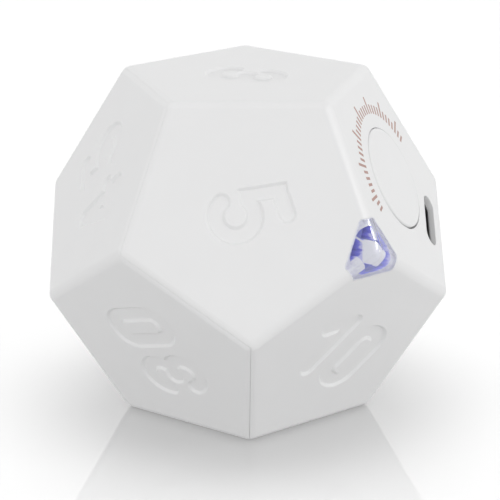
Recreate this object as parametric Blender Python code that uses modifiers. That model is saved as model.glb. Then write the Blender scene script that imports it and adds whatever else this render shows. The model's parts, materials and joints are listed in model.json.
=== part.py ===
# Dodecahedral flip timer: twelve pentagon faces with engraved minutes, a push button,
# a USB-C socket and a clear lit corner. Metres, +Z up, resting face on Z = 0.
import math

import bmesh
import bpy
from mathutils import Matrix, Vector

# Casing
ACROSS_FLATS = 0.0600
EDGE_FILLET = 0.0022
FILLET_STEPS = 3
WALL = 0.0022
SEAM_GAP = 0.0003
LIP_HEIGHT = 0.0030
LIP_GAP = 0.0002

# Fits shared by many pieces
SEAT_GAP = 0.0003
SOLDER_GAP = 0.0002
CUT_OVERRUN = 0.0020
WELD_DISTANCE = 0.000001

# Engraved minutes
DIGIT_HEIGHT = 0.0144
DIGIT_WIDTH = 0.0089
DIGIT_STROKE = 0.0028
DIGIT_SPACE = 0.0023
DIGIT_DEPTH = 0.00045
ZERO_CORNER = 0.0041
COUNTER_HEIGHT = 0.0083
COUNTER_WIDTH = 0.0032
COUNTER_CORNER = 0.0011
ONE_WIDTH = 0.0069
ONE_FLAG_DROP = 0.0035
FIVE_BOWL_RADIUS = 0.0047
FIVE_STEM_TOP = 0.0016
FIVE_STEM_LEAN = 0.0013
FIVE_STEM_WIDTH = 0.0024
FOUR_STEM_SHARE = 0.35
FOUR_BAR_SHARE = 0.38
SIX_SWEEP_SHARE = 1.7
ARC_STEP_DEGREES = 24
CAP_STEPS = 5

# Button and its guide
BUTTON_HOLE_DIAMETER = 0.0188
BUTTON_CLEARANCE = 0.0003
BUTTON_RECESS = 0.0002
BUTTON_EDGE_ROUND = 0.0006
BUTTON_WALL = 0.0014
BUTTON_FLANGE_OVERLAP = 0.0007
BUTTON_FLANGE_THICKNESS = 0.0010
BUTTON_TRAVEL = 0.0006
BUTTON_STEM_DIAMETER = 0.0036
GUIDE_WALL = 0.0009
GUIDE_DEPTH = 0.0022
ROUND_STEPS = 48

# Circuit board, its bosses and screws
PCB_DEPTH = 0.0100
PCB_THICKNESS = 0.0016
PCB_EDGE_GAP = 0.0015
PCB_CORNER = 0.0020
BOSS_DIAMETER = 0.0046
BOSS_INSET = 0.0034
BOSS_HOLE_DIAMETER = 0.0020
BOSS_HOLE_DEPTH = 0.0058
SCREW_SHANK_DIAMETER = 0.0015
SCREW_SHANK_LENGTH = 0.0070
SCREW_HEAD_DIAMETER = 0.0038
SCREW_HEAD_HEIGHT = 0.0013
SCREW_RECESS_WIDTH = 0.0005
SCREW_RECESS_DEPTH = 0.0006
SCREW_STEPS = 16

# Tact switch
SWITCH_SIDE = 0.0062
SWITCH_HEIGHT = 0.0035
SWITCH_EDGE = 0.0003
PLUNGER_DIAMETER = 0.0034
PLUNGER_REACH = 0.0015
PLUNGER_DEPTH = 0.0014
PLUNGER_CLEARANCE = 0.0002

# USB-C socket and its slot
PORT_OFFSET = 0.0135
PORT_SLOT_LENGTH = 0.0106
PORT_SLOT_WIDTH = 0.0036
USB_LENGTH = 0.0089
USB_WIDTH = 0.0031
USB_SHEET = 0.0003
USB_MOUTH_DEPTH = 0.0009
USB_BASE_HEIGHT = 0.0020
TONGUE_LENGTH = 0.0067
TONGUE_THICKNESS = 0.0007
TONGUE_SETBACK = 0.0005
PORT_CORNER_SHARE = 0.49
PORT_CORNER_STEPS = 6

# Clear corner, its lamp and board
LENS_INRADIUS = 0.00407
LENS_CORNER = 0.00223
LENS_GAP = 0.0002
LENS_FLANGE = 0.0011
LENS_BACK_DEPTH = 0.0080
LENS_FLANGE_DROP = 0.0010
LENS_POCKET_DIAMETER = 0.0052
LENS_POCKET_DEPTH = 0.0025
LED_LENGTH = 0.0034
LED_WIDTH = 0.0028
LED_HEIGHT = 0.0016
LED_BOARD_DIAMETER = 0.0072
LED_BOARD_THICKNESS = 0.0010
LED_LEAD_PITCH = 0.0022
LED_BOARD_MARGIN = 0.0018
LENS_STEPS = 6

# Chips and small parts on the board: length, width, height
MCU_SIZE = (0.0050, 0.0050, 0.0009)
SENSOR_SIZE = (0.0030, 0.0030, 0.0010)
CHARGER_SIZE = (0.0029, 0.0016, 0.0011)
CRYSTAL_SIZE = (0.0032, 0.0015, 0.0008)
CAPACITOR_SIZE = (0.0020, 0.0012, 0.0009)
RESISTOR_SIZE = (0.0016, 0.0008, 0.0005)
CHIP_GAP = 0.0012

# Buzzer
BUZZER_DIAMETER = 0.0075
BUZZER_HEIGHT = 0.0032
BUZZER_WALL = 0.0004
BUZZER_SOUND_HOLE = 0.0016
BUZZER_DISC_THICKNESS = 0.0002
BUZZER_GAP = 0.0005

# Battery, its foam pad, board, plug and leads
CELL_LENGTH = 0.0250
CELL_WIDTH = 0.0200
CELL_THICKNESS = 0.0050
CELL_EDGE = 0.0012
PAD_CLEARANCE = 0.0003
PAD_MARGIN = 0.0034
CELL_BOARD_LENGTH = 0.0030
CELL_BOARD_WIDTH = 0.0160
CELL_BOARD_THICKNESS = 0.0008
SOCKET_SIZE = (0.0042, 0.0046, 0.0030)
SOCKET_WALL = 0.0004
PLUG_GAP = 0.0002
PLUG_STICKS_OUT = 0.0010
LEAD_DIAMETER = 0.0009
LEAD_PITCH = 0.0016
LEAD_NEST_SHARE = 0.75
LEAD_BOW_SHARE = 0.7
LEAD_POINTS = 22

# The golden ratio sets every proportion of a regular dodecahedron
PHI = (1 + math.sqrt(5)) / 2
RING_TURN = math.radians(72)
HALF_TURN = math.radians(36)
CENTRE = Vector((0, 0, ACROSS_FLATS / 2))
IN_RADIUS = ACROSS_FLATS / 2
CAVITY_RADIUS = IN_RADIUS - WALL
HALF_CUTTER_SHARE = 1.3
SHARP_ANGLE = math.radians(35)
# The exact solver leaves inner faces along the lips of the two casing halves
SHELL_SOLVER = "MANIFOLD"


# Dodecahedron geometry

def corner_rings(in_radius):
    """Corners about the centre in four rings of five: top, upper, lower and base."""
    face_circle = in_radius * 2 * math.sqrt(3 - PHI) / PHI**2 / (2 * math.sin(HALF_TURN))
    rings = {"top": [], "upper": [], "lower": [], "base": []}
    for k in range(5):
        front = k * RING_TURN - math.radians(54)
        back = k * RING_TURN - math.radians(18)
        rings["top"].append(ring_point(face_circle, front, in_radius))
        rings["upper"].append(ring_point(face_circle * PHI, front, in_radius / PHI**3))
        rings["lower"].append(ring_point(face_circle * PHI, back, -in_radius / PHI**3))
        rings["base"].append(ring_point(face_circle, back, -in_radius))
    return rings


def ring_point(radius, angle, height):
    return Vector((radius * math.cos(angle), radius * math.sin(angle), height))


def upper_face(rings, k):
    """Corners of the upper side face number k, counted from the front."""
    top, upper, lower = rings["top"], rings["upper"], rings["lower"]
    return [top[k - 1], top[k], upper[k], lower[k - 1], upper[k - 1]]


def lower_face(rings, k):
    """Corners of the lower side face number k, counted from the right of the front."""
    upper, lower, base = rings["upper"], rings["lower"], rings["base"]
    return [upper[k], lower[k], base[k], base[k - 1], lower[k - 1]]


RINGS = corner_rings(IN_RADIUS)
BUTTON_FACE = upper_face(RINGS, 1)
BUTTON_AXIS = sum(BUTTON_FACE, Vector()).normalized()
LENS_AXIS = RINGS["upper"][0].normalized()
FACE_APOTHEM = ((BUTTON_FACE[0] + BUTTON_FACE[1]) / 2 - BUTTON_AXIS * IN_RADIUS).length


def frame_matrix(axis, up_point):
    """Axes at the centre of the casing: Z along axis, Y toward up_point, X to the right."""
    up = (up_point - axis * up_point.dot(axis)).normalized()
    right = up.cross(axis)
    turn = Matrix((right, up, axis)).transposed()
    return Matrix.Translation(CENTRE) @ turn.to_4x4()


def face_frame(corners, up_face_corners):
    """Frame of a face whose reading-up direction is the edge it shares with another face."""
    shared = [p for p in corners if min((p - q).length for q in up_face_corners) < WELD_DISTANCE]
    axis = sum(corners, Vector()).normalized()
    return frame_matrix(axis, sum(shared, Vector()) / len(shared))


# Scene, collections and materials

def clear_scene():
    for obj in list(bpy.data.objects):
        bpy.data.objects.remove(obj, do_unlink=True)


def new_collection(name, render):
    collection = bpy.data.collections.new(name)
    collection.hide_render = not render
    bpy.context.scene.collection.children.link(collection)
    return collection


def finish_material(name, colour, roughness, metallic=0.0, alpha=1.0):
    material = bpy.data.materials.new(name)
    material.use_nodes = True
    shader = material.node_tree.nodes["Principled BSDF"]
    shader.inputs["Base Color"].default_value = (*colour, 1)
    shader.inputs["Roughness"].default_value = roughness
    shader.inputs["Metallic"].default_value = metallic
    shader.inputs["Alpha"].default_value = alpha
    material.diffuse_color = (*colour, alpha)
    return material


clear_scene()
PARTS = new_collection("dodecahedral_timer", True)
CUTTERS = new_collection("cutters", False)
CASE_WHITE = finish_material("case_white", (0.83, 0.83, 0.84), 0.42)
BUTTON_WHITE = finish_material("button_white", (0.83, 0.83, 0.84), 0.45)
LENS_BLUE = finish_material("lens_blue", (0.30, 0.34, 0.85), 0.05, alpha=0.5)
BOARD_GREEN = finish_material("board_green", (0.02, 0.16, 0.07), 0.4)
BOARD_WHITE = finish_material("board_white", (0.75, 0.76, 0.76), 0.4)
CHIP_BLACK = finish_material("chip_black", (0.02, 0.02, 0.022), 0.5)
PLASTIC_BLACK = finish_material("plastic_black", (0.025, 0.025, 0.027), 0.45)
CERAMIC_TAN = finish_material("ceramic_tan", (0.42, 0.30, 0.20), 0.5)
STEEL = finish_material("steel", (0.62, 0.62, 0.63), 0.3, metallic=1.0)
BRASS = finish_material("brass", (0.72, 0.53, 0.25), 0.35, metallic=1.0)
SCREW_STEEL = finish_material("screw_steel", (0.45, 0.45, 0.46), 0.35, metallic=1.0)
CELL_FOIL = finish_material("cell_foil", (0.60, 0.61, 0.63), 0.35, metallic=0.8)
FOAM_GREY = finish_material("foam_grey", (0.30, 0.30, 0.31), 0.9)
SOCKET_IVORY = finish_material("socket_ivory", (0.80, 0.77, 0.68), 0.5)
LED_YELLOW = finish_material("led_yellow", (0.85, 0.75, 0.30), 0.3)
LEAD_RED = finish_material("lead_red", (0.55, 0.02, 0.02), 0.45)
LEAD_BLACK = finish_material("lead_black", (0.015, 0.015, 0.015), 0.45)


def add_object(name, mesh, parent=None, material=None, helper=False):
    obj = bpy.data.objects.new(name, mesh)
    (CUTTERS if helper else PARTS).objects.link(obj)
    obj.parent = parent
    if material:
        mesh.materials.append(material)
    if helper:
        obj.hide_render = True
        obj.display_type = "WIRE"
    return obj


def add_frame(name, matrix, parent=None):
    """An empty that carries pieces, such as the frame on a joint's axis."""
    empty = bpy.data.objects.new(name, None)
    PARTS.objects.link(empty)
    empty.parent = parent
    empty.matrix_local = matrix
    return empty


# Shapes

def arc(centre_x, centre_y, radius_x, radius_y, start, end):
    """Points on an ellipse from start to end, in degrees, both ends included."""
    steps = max(2, math.ceil(abs(end - start) / ARC_STEP_DEGREES))
    angles = [math.radians(start + (end - start) * i / steps) for i in range(steps + 1)]
    return [
        Vector((centre_x + radius_x * math.cos(a), centre_y + radius_y * math.sin(a)))
        for a in angles
    ]


def circle(radius, steps, centre_x=0, centre_y=0):
    angles = [2 * math.pi * i / steps for i in range(steps)]
    return [Vector((centre_x + radius * math.cos(a), centre_y + radius * math.sin(a))) for a in angles]


def rounded_polygon(corners, radius, steps):
    """A convex outline, given anticlockwise, with each corner replaced by an arc."""
    points = []
    for i, corner in enumerate(corners):
        before = (corners[i - 1] - corner).normalized()
        after = (corners[(i + 1) % len(corners)] - corner).normalized()
        half_angle = before.angle(after) / 2
        middle = corner + (before + after).normalized() * radius / math.sin(half_angle)
        spread = math.pi / 2 - half_angle
        facing = math.atan2(*reversed(corner - middle))
        for step in range(steps + 1):
            angle = facing - spread + 2 * spread * step / steps
            points.append(middle + Vector((math.cos(angle), math.sin(angle))) * radius)
    return points


def rounded_rectangle(length, width, radius, steps):
    x, y = length / 2, width / 2
    corners = [Vector((x, y)), Vector((-x, y)), Vector((-x, -y)), Vector((x, -y))]
    return rounded_polygon(corners, radius, steps)


def regular_corners(count, in_radius, first_angle):
    reach = in_radius / math.cos(math.pi / count)
    angles = [first_angle + 2 * math.pi * i / count for i in range(count)]
    return [Vector((reach * math.cos(a), reach * math.sin(a))) for a in angles]


def stroke(path, width, round_ends=True):
    """Outline of a pen stroke of one width along a path."""
    half = width / 2
    left, right = [], []
    for i, point in enumerate(path):
        along = (path[min(i + 1, len(path) - 1)] - path[max(i - 1, 0)]).normalized()
        across = Vector((-along.y, along.x)) * half
        left.append(point + across)
        right.append(point - across)
    if not round_ends:
        return left + right[::-1]
    ends = []
    for point, other in ((path[-1], path[-2]), (path[0], path[1])):
        along = (point - other).normalized()
        facing = math.atan2(along.y, along.x)
        angles = [facing + math.pi / 2 - math.pi * i / CAP_STEPS for i in range(1, CAP_STEPS)]
        ends.append([point + Vector((math.cos(a), math.sin(a))) * half for a in angles])
    return left + ends[0] + right[::-1] + ends[1]


def shade_round(mesh):
    """Smooth shading, with the edges between a side and an end kept sharp."""
    mesh.shade_smooth()
    mesh.set_sharp_from_angle(angle=SHARP_ANGLE)
    return mesh


def plate_mesh(name, outlines, bottom, top):
    """A flat plate between two heights. Outlines inside another are holes."""
    curve = bpy.data.curves.new(name, "CURVE")
    curve.dimensions = "2D"
    curve.fill_mode = "BOTH"
    curve.extrude = (top - bottom) / 2
    for outline in outlines:
        spline = curve.splines.new("POLY")
        spline.points.add(len(outline) - 1)
        spline.use_cyclic_u = True
        for target, point in zip(spline.points, outline):
            target.co = (point.x, point.y, 0, 1)
    source = bpy.data.objects.new(name, curve)
    CUTTERS.objects.link(source)
    bpy.context.view_layer.update()
    graph = bpy.context.evaluated_depsgraph_get()
    mesh = bpy.data.meshes.new_from_object(source.evaluated_get(graph))
    bpy.data.objects.remove(source, do_unlink=True)
    bpy.data.curves.remove(curve)
    mesh.name = name
    body = bmesh.new()
    body.from_mesh(mesh)
    bmesh.ops.remove_doubles(body, verts=body.verts, dist=WELD_DISTANCE)
    bmesh.ops.translate(body, verts=body.verts, vec=(0, 0, (top + bottom) / 2))
    bmesh.ops.recalc_face_normals(body, faces=body.faces)
    body.to_mesh(mesh)
    body.free()
    return shade_round(mesh)


def box_mesh(name, size, centre):
    mesh = bpy.data.meshes.new(name)
    body = bmesh.new()
    bmesh.ops.create_cube(body, size=1)
    bmesh.ops.scale(body, vec=size, verts=body.verts)
    bmesh.ops.translate(body, vec=centre, verts=body.verts)
    body.to_mesh(mesh)
    body.free()
    return mesh


def cylinder_mesh(name, diameter, bottom, top, steps, centre_x=0, centre_y=0):
    mesh = bpy.data.meshes.new(name)
    body = bmesh.new()
    bmesh.ops.create_cone(
        body, cap_ends=True, segments=steps, radius1=diameter / 2, radius2=diameter / 2,
        depth=top - bottom,
    )
    bmesh.ops.translate(body, vec=(centre_x, centre_y, (top + bottom) / 2), verts=body.verts)
    body.to_mesh(mesh)
    body.free()
    return shade_round(mesh)


def add_turned(name, profile, steps, parent, material):
    """A piece turned about Z. The profile runs from the axis on top down its outer side."""
    outline = bpy.data.meshes.new(name + "_profile")
    edges = [(i, i + 1) for i in range(len(profile) - 1)]
    outline.from_pydata([(x, 0, z) for x, z in profile], edges, [])
    source = add_object(name + "_profile", outline, helper=True)
    screw = source.modifiers.new("turn", "SCREW")
    screw.axis = "Z"
    screw.steps = steps
    screw.render_steps = steps
    screw.use_merge_vertices = True
    screw.merge_threshold = WELD_DISTANCE
    bpy.context.view_layer.update()
    graph = bpy.context.evaluated_depsgraph_get()
    mesh = bpy.data.meshes.new_from_object(source.evaluated_get(graph))
    mesh.name = name
    bpy.data.objects.remove(source, do_unlink=True)
    return add_object(name, shade_round(mesh), parent, material)


def soften(obj, width, segments=2):
    bevel = obj.modifiers.new("edges", "BEVEL")
    bevel.width = width
    bevel.segments = segments
    bevel.limit_method = "ANGLE"
    return bevel


def combine(obj, operation, other, solver="EXACT"):
    """A Boolean with one object, or with every object of a collection."""
    boolean = obj.modifiers.new(operation.lower() + "_" + other.name, "BOOLEAN")
    boolean.operation = operation
    boolean.solver = solver
    if isinstance(other, bpy.types.Collection):
        boolean.operand_type = "COLLECTION"
        boolean.collection = other
    else:
        boolean.object = other
    return boolean


def cutter_group(name, cutters):
    group = bpy.data.collections.new(name)
    group.hide_render = True
    CUTTERS.children.link(group)
    for cutter in cutters:
        group.objects.link(cutter)
    return group


def dodecahedron_mesh(name, in_radius):
    mesh = bpy.data.meshes.new(name)
    body = bmesh.new()
    for ring in corner_rings(in_radius).values():
        for point in ring:
            body.verts.new(point)
    bmesh.ops.convex_hull(body, input=body.verts)
    bmesh.ops.dissolve_limit(
        body, angle_limit=math.radians(1), verts=body.verts, edges=body.edges
    )
    bmesh.ops.recalc_face_normals(body, faces=body.faces)
    body.to_mesh(mesh)
    body.free()
    return mesh


def round_casing_edges(obj):
    bevel = obj.modifiers.new("edge_fillet", "BEVEL")
    bevel.offset_type = "OFFSET"
    bevel.width = EDGE_FILLET / PHI
    bevel.segments = FILLET_STEPS
    bevel.limit_method = "NONE"


# Engraved digits: each glyph is a list of plates, drawn about the middle of its own cell

def glyph_sizes():
    """Half height, half width, and the pen's highest and furthest points."""
    half_height = DIGIT_HEIGHT / 2
    half_width = DIGIT_WIDTH / 2
    pen = DIGIT_STROKE / 2
    return half_height, half_width, half_height - pen, half_width - pen


def glyph_zero():
    outer = rounded_rectangle(DIGIT_WIDTH, DIGIT_HEIGHT, ZERO_CORNER, CAP_STEPS)
    counter = rounded_rectangle(COUNTER_WIDTH, COUNTER_HEIGHT, COUNTER_CORNER, 2)
    return [[outer, counter]]


def glyph_one():
    pen_top = glyph_sizes()[2]
    stem_x = (ONE_WIDTH - DIGIT_STROKE) / 2
    stem = [Vector((stem_x, -pen_top)), Vector((stem_x, pen_top))]
    flag = [Vector((-stem_x, pen_top - ONE_FLAG_DROP)), Vector((stem_x, pen_top))]
    return [[stroke(stem, DIGIT_STROKE)], [stroke(flag, DIGIT_STROKE)]]


def glyph_two():
    half_height, half_width, pen_top, pen_side = glyph_sizes()
    hook = arc(0, half_height - half_width, pen_side, pen_side, 165, -38)
    foot = [Vector((-pen_side, -pen_top)), Vector((pen_side, -pen_top))]
    slope = [hook[-1], foot[0]]
    return [[stroke(path, DIGIT_STROKE)] for path in (hook, slope, foot)]


def glyph_three():
    half_height, half_width, _, pen_side = glyph_sizes()
    lobe = half_height - half_width
    upper = arc(0, lobe, pen_side, pen_side, 175, -98)
    lower = arc(0, -lobe, pen_side, pen_side, -175, 98)
    return [[stroke(upper, DIGIT_STROKE)], [stroke(lower, DIGIT_STROKE)]]


def glyph_four():
    _, _, pen_top, pen_side = glyph_sizes()
    stem_x = pen_side * FOUR_STEM_SHARE
    bar_y = -pen_top * FOUR_BAR_SHARE
    slope = [Vector((stem_x, pen_top)), Vector((-pen_side, bar_y))]
    bar = [Vector((-pen_side, bar_y)), Vector((pen_side, bar_y))]
    stem = [Vector((stem_x, pen_top)), Vector((stem_x, -pen_top))]
    return [[stroke(path, DIGIT_STROKE)] for path in (slope, bar, stem)]


def glyph_five():
    half_height, _, pen_top, pen_side = glyph_sizes()
    centre_y = FIVE_BOWL_RADIUS - half_height
    pen_radius = FIVE_BOWL_RADIUS - DIGIT_STROKE / 2
    bowl = arc(0, centre_y, pen_radius, pen_radius, -154, 118)
    bar = [Vector((-FIVE_STEM_TOP, pen_top)), Vector((pen_side - FIVE_STEM_LEAN / 2, pen_top))]
    stem = [
        Vector((-FIVE_STEM_TOP, half_height)),
        Vector((-FIVE_STEM_TOP - FIVE_STEM_LEAN, centre_y + pen_radius / 2)),
    ]
    return [
        [stroke(bowl, DIGIT_STROKE)],
        [stroke(bar, DIGIT_STROKE)],
        [stroke(stem, FIVE_STEM_WIDTH, round_ends=False)],
    ]


def glyph_six():
    half_height, half_width, pen_top, pen_side = glyph_sizes()
    centre_y = half_width - half_height
    ring = circle(half_width, 20, 0, centre_y)
    counter = circle(half_width - DIGIT_STROKE, 16, 0, centre_y)
    sweep = pen_side * SIX_SWEEP_SHARE
    tail = arc(sweep - pen_side, centre_y, sweep, pen_top - centre_y, 180, 96)
    return [[ring, counter], [stroke(tail, DIGIT_STROKE)]]


GLYPHS = {
    "0": (glyph_zero, DIGIT_WIDTH),
    "1": (glyph_one, ONE_WIDTH),
    "2": (glyph_two, DIGIT_WIDTH),
    "3": (glyph_three, DIGIT_WIDTH),
    "4": (glyph_four, DIGIT_WIDTH),
    "5": (glyph_five, DIGIT_WIDTH),
    "6": (glyph_six, DIGIT_WIDTH),
}


def engraving_cutters(text, frame):
    """One cutter for each pen stroke of the number on a face."""
    cutters = []
    widths = [GLYPHS[letter][1] for letter in text]
    left = -(sum(widths) + DIGIT_SPACE * (len(text) - 1)) / 2
    for place, (letter, width) in enumerate(zip(text, widths)):
        middle = Vector((left + width / 2, 0))
        left += width + DIGIT_SPACE
        for number, outlines in enumerate(GLYPHS[letter][0]()):
            name = f"engraving_{text}_{place}_{number}"
            moved = [[point + middle for point in outline] for outline in outlines]
            mesh = plate_mesh(name, moved, IN_RADIUS - DIGIT_DEPTH, IN_RADIUS + CUT_OVERRUN)
            cutters.append(add_object(name, mesh, frame, helper=True))
    return cutters


# Frames that carry the pieces

BUTTON_FRAME = add_frame(
    "button_axis", frame_matrix(BUTTON_AXIS, BUTTON_FACE[0] + BUTTON_FACE[1])
)
LENS_FRAME = add_frame("lens_axis", frame_matrix(LENS_AXIS, RINGS["top"][0]))
PORT_ANGLE = math.radians(-54)
PORT_FRAME = add_frame(
    "port_axis",
    Matrix.Rotation(PORT_ANGLE, 4, "Z") @ Matrix.Translation((PORT_OFFSET, 0, 0)),
    BUTTON_FRAME,
)
LENS_CORNER_ANGLE = math.radians(198)
BOSS_ANGLES = [math.radians(angle) for angle in (54, 126, -90, -18)]

# Heights along the button axis, from the centre of the casing
PCB_TOP = IN_RADIUS - PCB_DEPTH
PCB_BOTTOM = PCB_TOP - PCB_THICKNESS
SWITCH_TOP = PCB_TOP + SOLDER_GAP + SWITCH_HEIGHT
PLUNGER_TOP = SWITCH_TOP + PLUNGER_REACH
FLANGE_TOP = CAVITY_RADIUS - SEAT_GAP
FLANGE_RADIUS = BUTTON_HOLE_DIAMETER / 2 + BUTTON_FLANGE_OVERLAP
GUIDE_INNER = FLANGE_RADIUS + BUTTON_CLEARANCE
BOSS_CIRCLE = (FACE_APOTHEM * CAVITY_RADIUS / IN_RADIUS - BOSS_INSET) / math.cos(HALF_TURN)
SCREW_HEAD_TOP = PCB_BOTTOM - SEAT_GAP
SCREW_HEAD_BOTTOM = SCREW_HEAD_TOP - SCREW_HEAD_HEIGHT
CELL_TOP = SCREW_HEAD_BOTTOM - PAD_CLEARANCE

# Heights along the lens axis, from the centre of the casing
CORNER_RADIUS = RINGS["upper"][0].length
LENS_BACK = CORNER_RADIUS - LENS_BACK_DEPTH
LED_BOARD_TOP = LENS_BACK - SEAT_GAP
LED_BOARD_BACK = LED_BOARD_TOP - LED_BOARD_THICKNESS


# Casing halves

def half_cutter(name, side, shift):
    """The cone from the centre over the six faces on one side of the button axis."""
    mesh = dodecahedron_mesh(name, IN_RADIUS * HALF_CUTTER_SHARE)
    body = bmesh.new()
    body.from_mesh(mesh)
    others = [face for face in body.faces if face.normal.dot(BUTTON_AXIS) * side < 0]
    bmesh.ops.delete(body, geom=others, context="FACES")
    rim = [edge for edge in body.edges if edge.is_boundary]
    made = bmesh.ops.extrude_edge_only(body, edges=rim)["geom"]
    inner = [item for item in made if isinstance(item, bmesh.types.BMVert)]
    bmesh.ops.pointmerge(body, verts=inner, merge_co=(0, 0, 0))
    bmesh.ops.recalc_face_normals(body, faces=body.faces)
    body.to_mesh(mesh)
    body.free()
    cutter = add_object(name, mesh, helper=True)
    cutter.location = CENTRE + BUTTON_AXIS * shift
    return cutter


def seam_shift(gap):
    """How far to slide a half along the button axis to open the seam by a gap."""
    first, second = RINGS["top"][4], RINGS["upper"][4]
    seam_normal = first.cross(second).normalized()
    return gap / abs(seam_normal.dot(BUTTON_AXIS))


def inner_block(name, in_radius, keep=None):
    block = add_object(name, dodecahedron_mesh(name, in_radius), helper=True)
    block.location = CENTRE
    if keep:
        combine(block, "INTERSECT", keep, SHELL_SOLVER)
    return block


def numbered_faces():
    """Each numbered face: its number, its corners, the face it reads up to, its half."""
    facing_button = lower_face(RINGS, 3)
    base = RINGS["base"]
    return [
        ("3", RINGS["top"], BUTTON_FACE, "front"),
        ("5", upper_face(RINGS, 0), BUTTON_FACE, "front"),
        ("10", lower_face(RINGS, 0), BUTTON_FACE, "front"),
        ("15", lower_face(RINGS, 1), BUTTON_FACE, "front"),
        ("1", upper_face(RINGS, 2), BUTTON_FACE, "front"),
        ("20", upper_face(RINGS, 3), facing_button, "rear"),
        ("45", upper_face(RINGS, 4), facing_button, "rear"),
        ("30", lower_face(RINGS, 4), facing_button, "rear"),
        ("25", base, facing_button, "rear"),
        ("60", lower_face(RINGS, 2), facing_button, "rear"),
    ]


def engravings(half):
    cutters = []
    for text, corners, up_corners, side in numbered_faces():
        if side == half:
            frame = add_frame("face_" + text, face_frame(corners, up_corners))
            cutters += engraving_cutters(text, frame)
    return cutter_group(half + "_engravings", cutters)


def lens_outline(grow):
    corners = regular_corners(3, LENS_INRADIUS + grow, math.radians(90))
    return rounded_polygon(corners, LENS_CORNER + grow, LENS_STEPS)


def front_openings():
    """The button hole, the port slot and the hole of the clear corner."""
    low = CAVITY_RADIUS - CUT_OVERRUN
    high = IN_RADIUS + CUT_OVERRUN
    button_hole = cylinder_mesh("button_hole", BUTTON_HOLE_DIAMETER, low, high, ROUND_STEPS)
    slot_corner = PORT_SLOT_WIDTH * PORT_CORNER_SHARE
    slot = rounded_rectangle(PORT_SLOT_WIDTH, PORT_SLOT_LENGTH, slot_corner, PORT_CORNER_STEPS)
    corner_hole = plate_mesh(
        "lens_hole", [lens_outline(LENS_GAP)], LENS_BACK, CORNER_RADIUS + CUT_OVERRUN
    )
    return [
        add_object("button_hole", button_hole, BUTTON_FRAME, helper=True),
        add_object("port_slot", plate_mesh("port_slot", [slot], low, high), PORT_FRAME, helper=True),
        add_object("lens_hole", corner_hole, LENS_FRAME, helper=True),
    ]


def button_guide():
    """The collar under the button face in which the button's flange slides."""
    outlines = [circle(GUIDE_INNER + GUIDE_WALL, ROUND_STEPS), circle(GUIDE_INNER, ROUND_STEPS)]
    mesh = plate_mesh(
        "button_guide", outlines, CAVITY_RADIUS - GUIDE_DEPTH, CAVITY_RADIUS + WALL / 2
    )
    return add_object("button_guide", mesh, BUTTON_FRAME, helper=True)


def lens_room():
    """What the collar leaves free inside the casing for the clear corner and its lamp's board."""
    bottom = LED_BOARD_BACK - SEAT_GAP
    slab = plate_mesh("lens_room_slab", [lens_outline(LENS_FLANGE + SEAT_GAP)], bottom, CORNER_RADIUS)
    slab_cutter = add_object("lens_room_slab", slab, LENS_FRAME, helper=True)
    return inner_block("lens_room", CAVITY_RADIUS - SEAT_GAP / 2, slab_cutter)


def board_bosses(name, diameter, bottom, top):
    bosses = []
    for number, angle in enumerate(BOSS_ANGLES, 1):
        x, y = BOSS_CIRCLE * math.cos(angle), BOSS_CIRCLE * math.sin(angle)
        mesh = cylinder_mesh(f"{name}_{number}", diameter, bottom, top, SCREW_STEPS, x, y)
        bosses.append(add_object(f"{name}_{number}", mesh, BUTTON_FRAME, helper=True))
    return bosses


def build_front_shell(cavity):
    shell = add_object("front_shell", dodecahedron_mesh("front_shell", IN_RADIUS), material=CASE_WHITE)
    shell.location = CENTRE
    round_casing_edges(shell)
    combine(shell, "INTERSECT", half_cutter("front_half", 1, seam_shift(SEAM_GAP / 2)), SHELL_SOLVER)
    combine(shell, "DIFFERENCE", cavity, SHELL_SOLVER)
    lip_half = half_cutter("lip_recess_half", -1, seam_shift(LIP_HEIGHT + LIP_GAP))
    recess = inner_block("lip_recess", IN_RADIUS - WALL / 2 + LIP_GAP / 2, lip_half)
    combine(shell, "DIFFERENCE", recess, SHELL_SOLVER)
    boss_bottom = PCB_TOP + SEAT_GAP
    bosses = board_bosses("board_boss", BOSS_DIAMETER, boss_bottom, CAVITY_RADIUS + WALL / 2)
    combine(shell, "UNION", cutter_group("inner_features", bosses + [button_guide()]), SHELL_SOLVER)
    holes = board_bosses(
        "boss_hole", BOSS_HOLE_DIAMETER, boss_bottom - CUT_OVERRUN, boss_bottom + BOSS_HOLE_DEPTH
    )
    cutters = front_openings() + holes + [lens_room()]
    combine(shell, "DIFFERENCE", cutter_group("front_holes", cutters), SHELL_SOLVER)
    combine(shell, "DIFFERENCE", engravings("front"), SHELL_SOLVER)
    return shell


def build_rear_shell(cavity):
    shell = add_object("rear_shell", dodecahedron_mesh("rear_shell", IN_RADIUS), material=CASE_WHITE)
    shell.location = CENTRE
    round_casing_edges(shell)
    combine(shell, "INTERSECT", half_cutter("rear_half", -1, -seam_shift(SEAM_GAP / 2)), SHELL_SOLVER)
    lip_half = half_cutter("lip_half", -1, seam_shift(LIP_HEIGHT))
    lip = inner_block("lip", IN_RADIUS - WALL / 2 - LIP_GAP / 2, lip_half)
    combine(shell, "UNION", lip, SHELL_SOLVER)
    combine(shell, "DIFFERENCE", cavity, SHELL_SOLVER)
    combine(shell, "DIFFERENCE", engravings("rear"), SHELL_SOLVER)
    return shell


# Clear corner and its lamp

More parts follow.
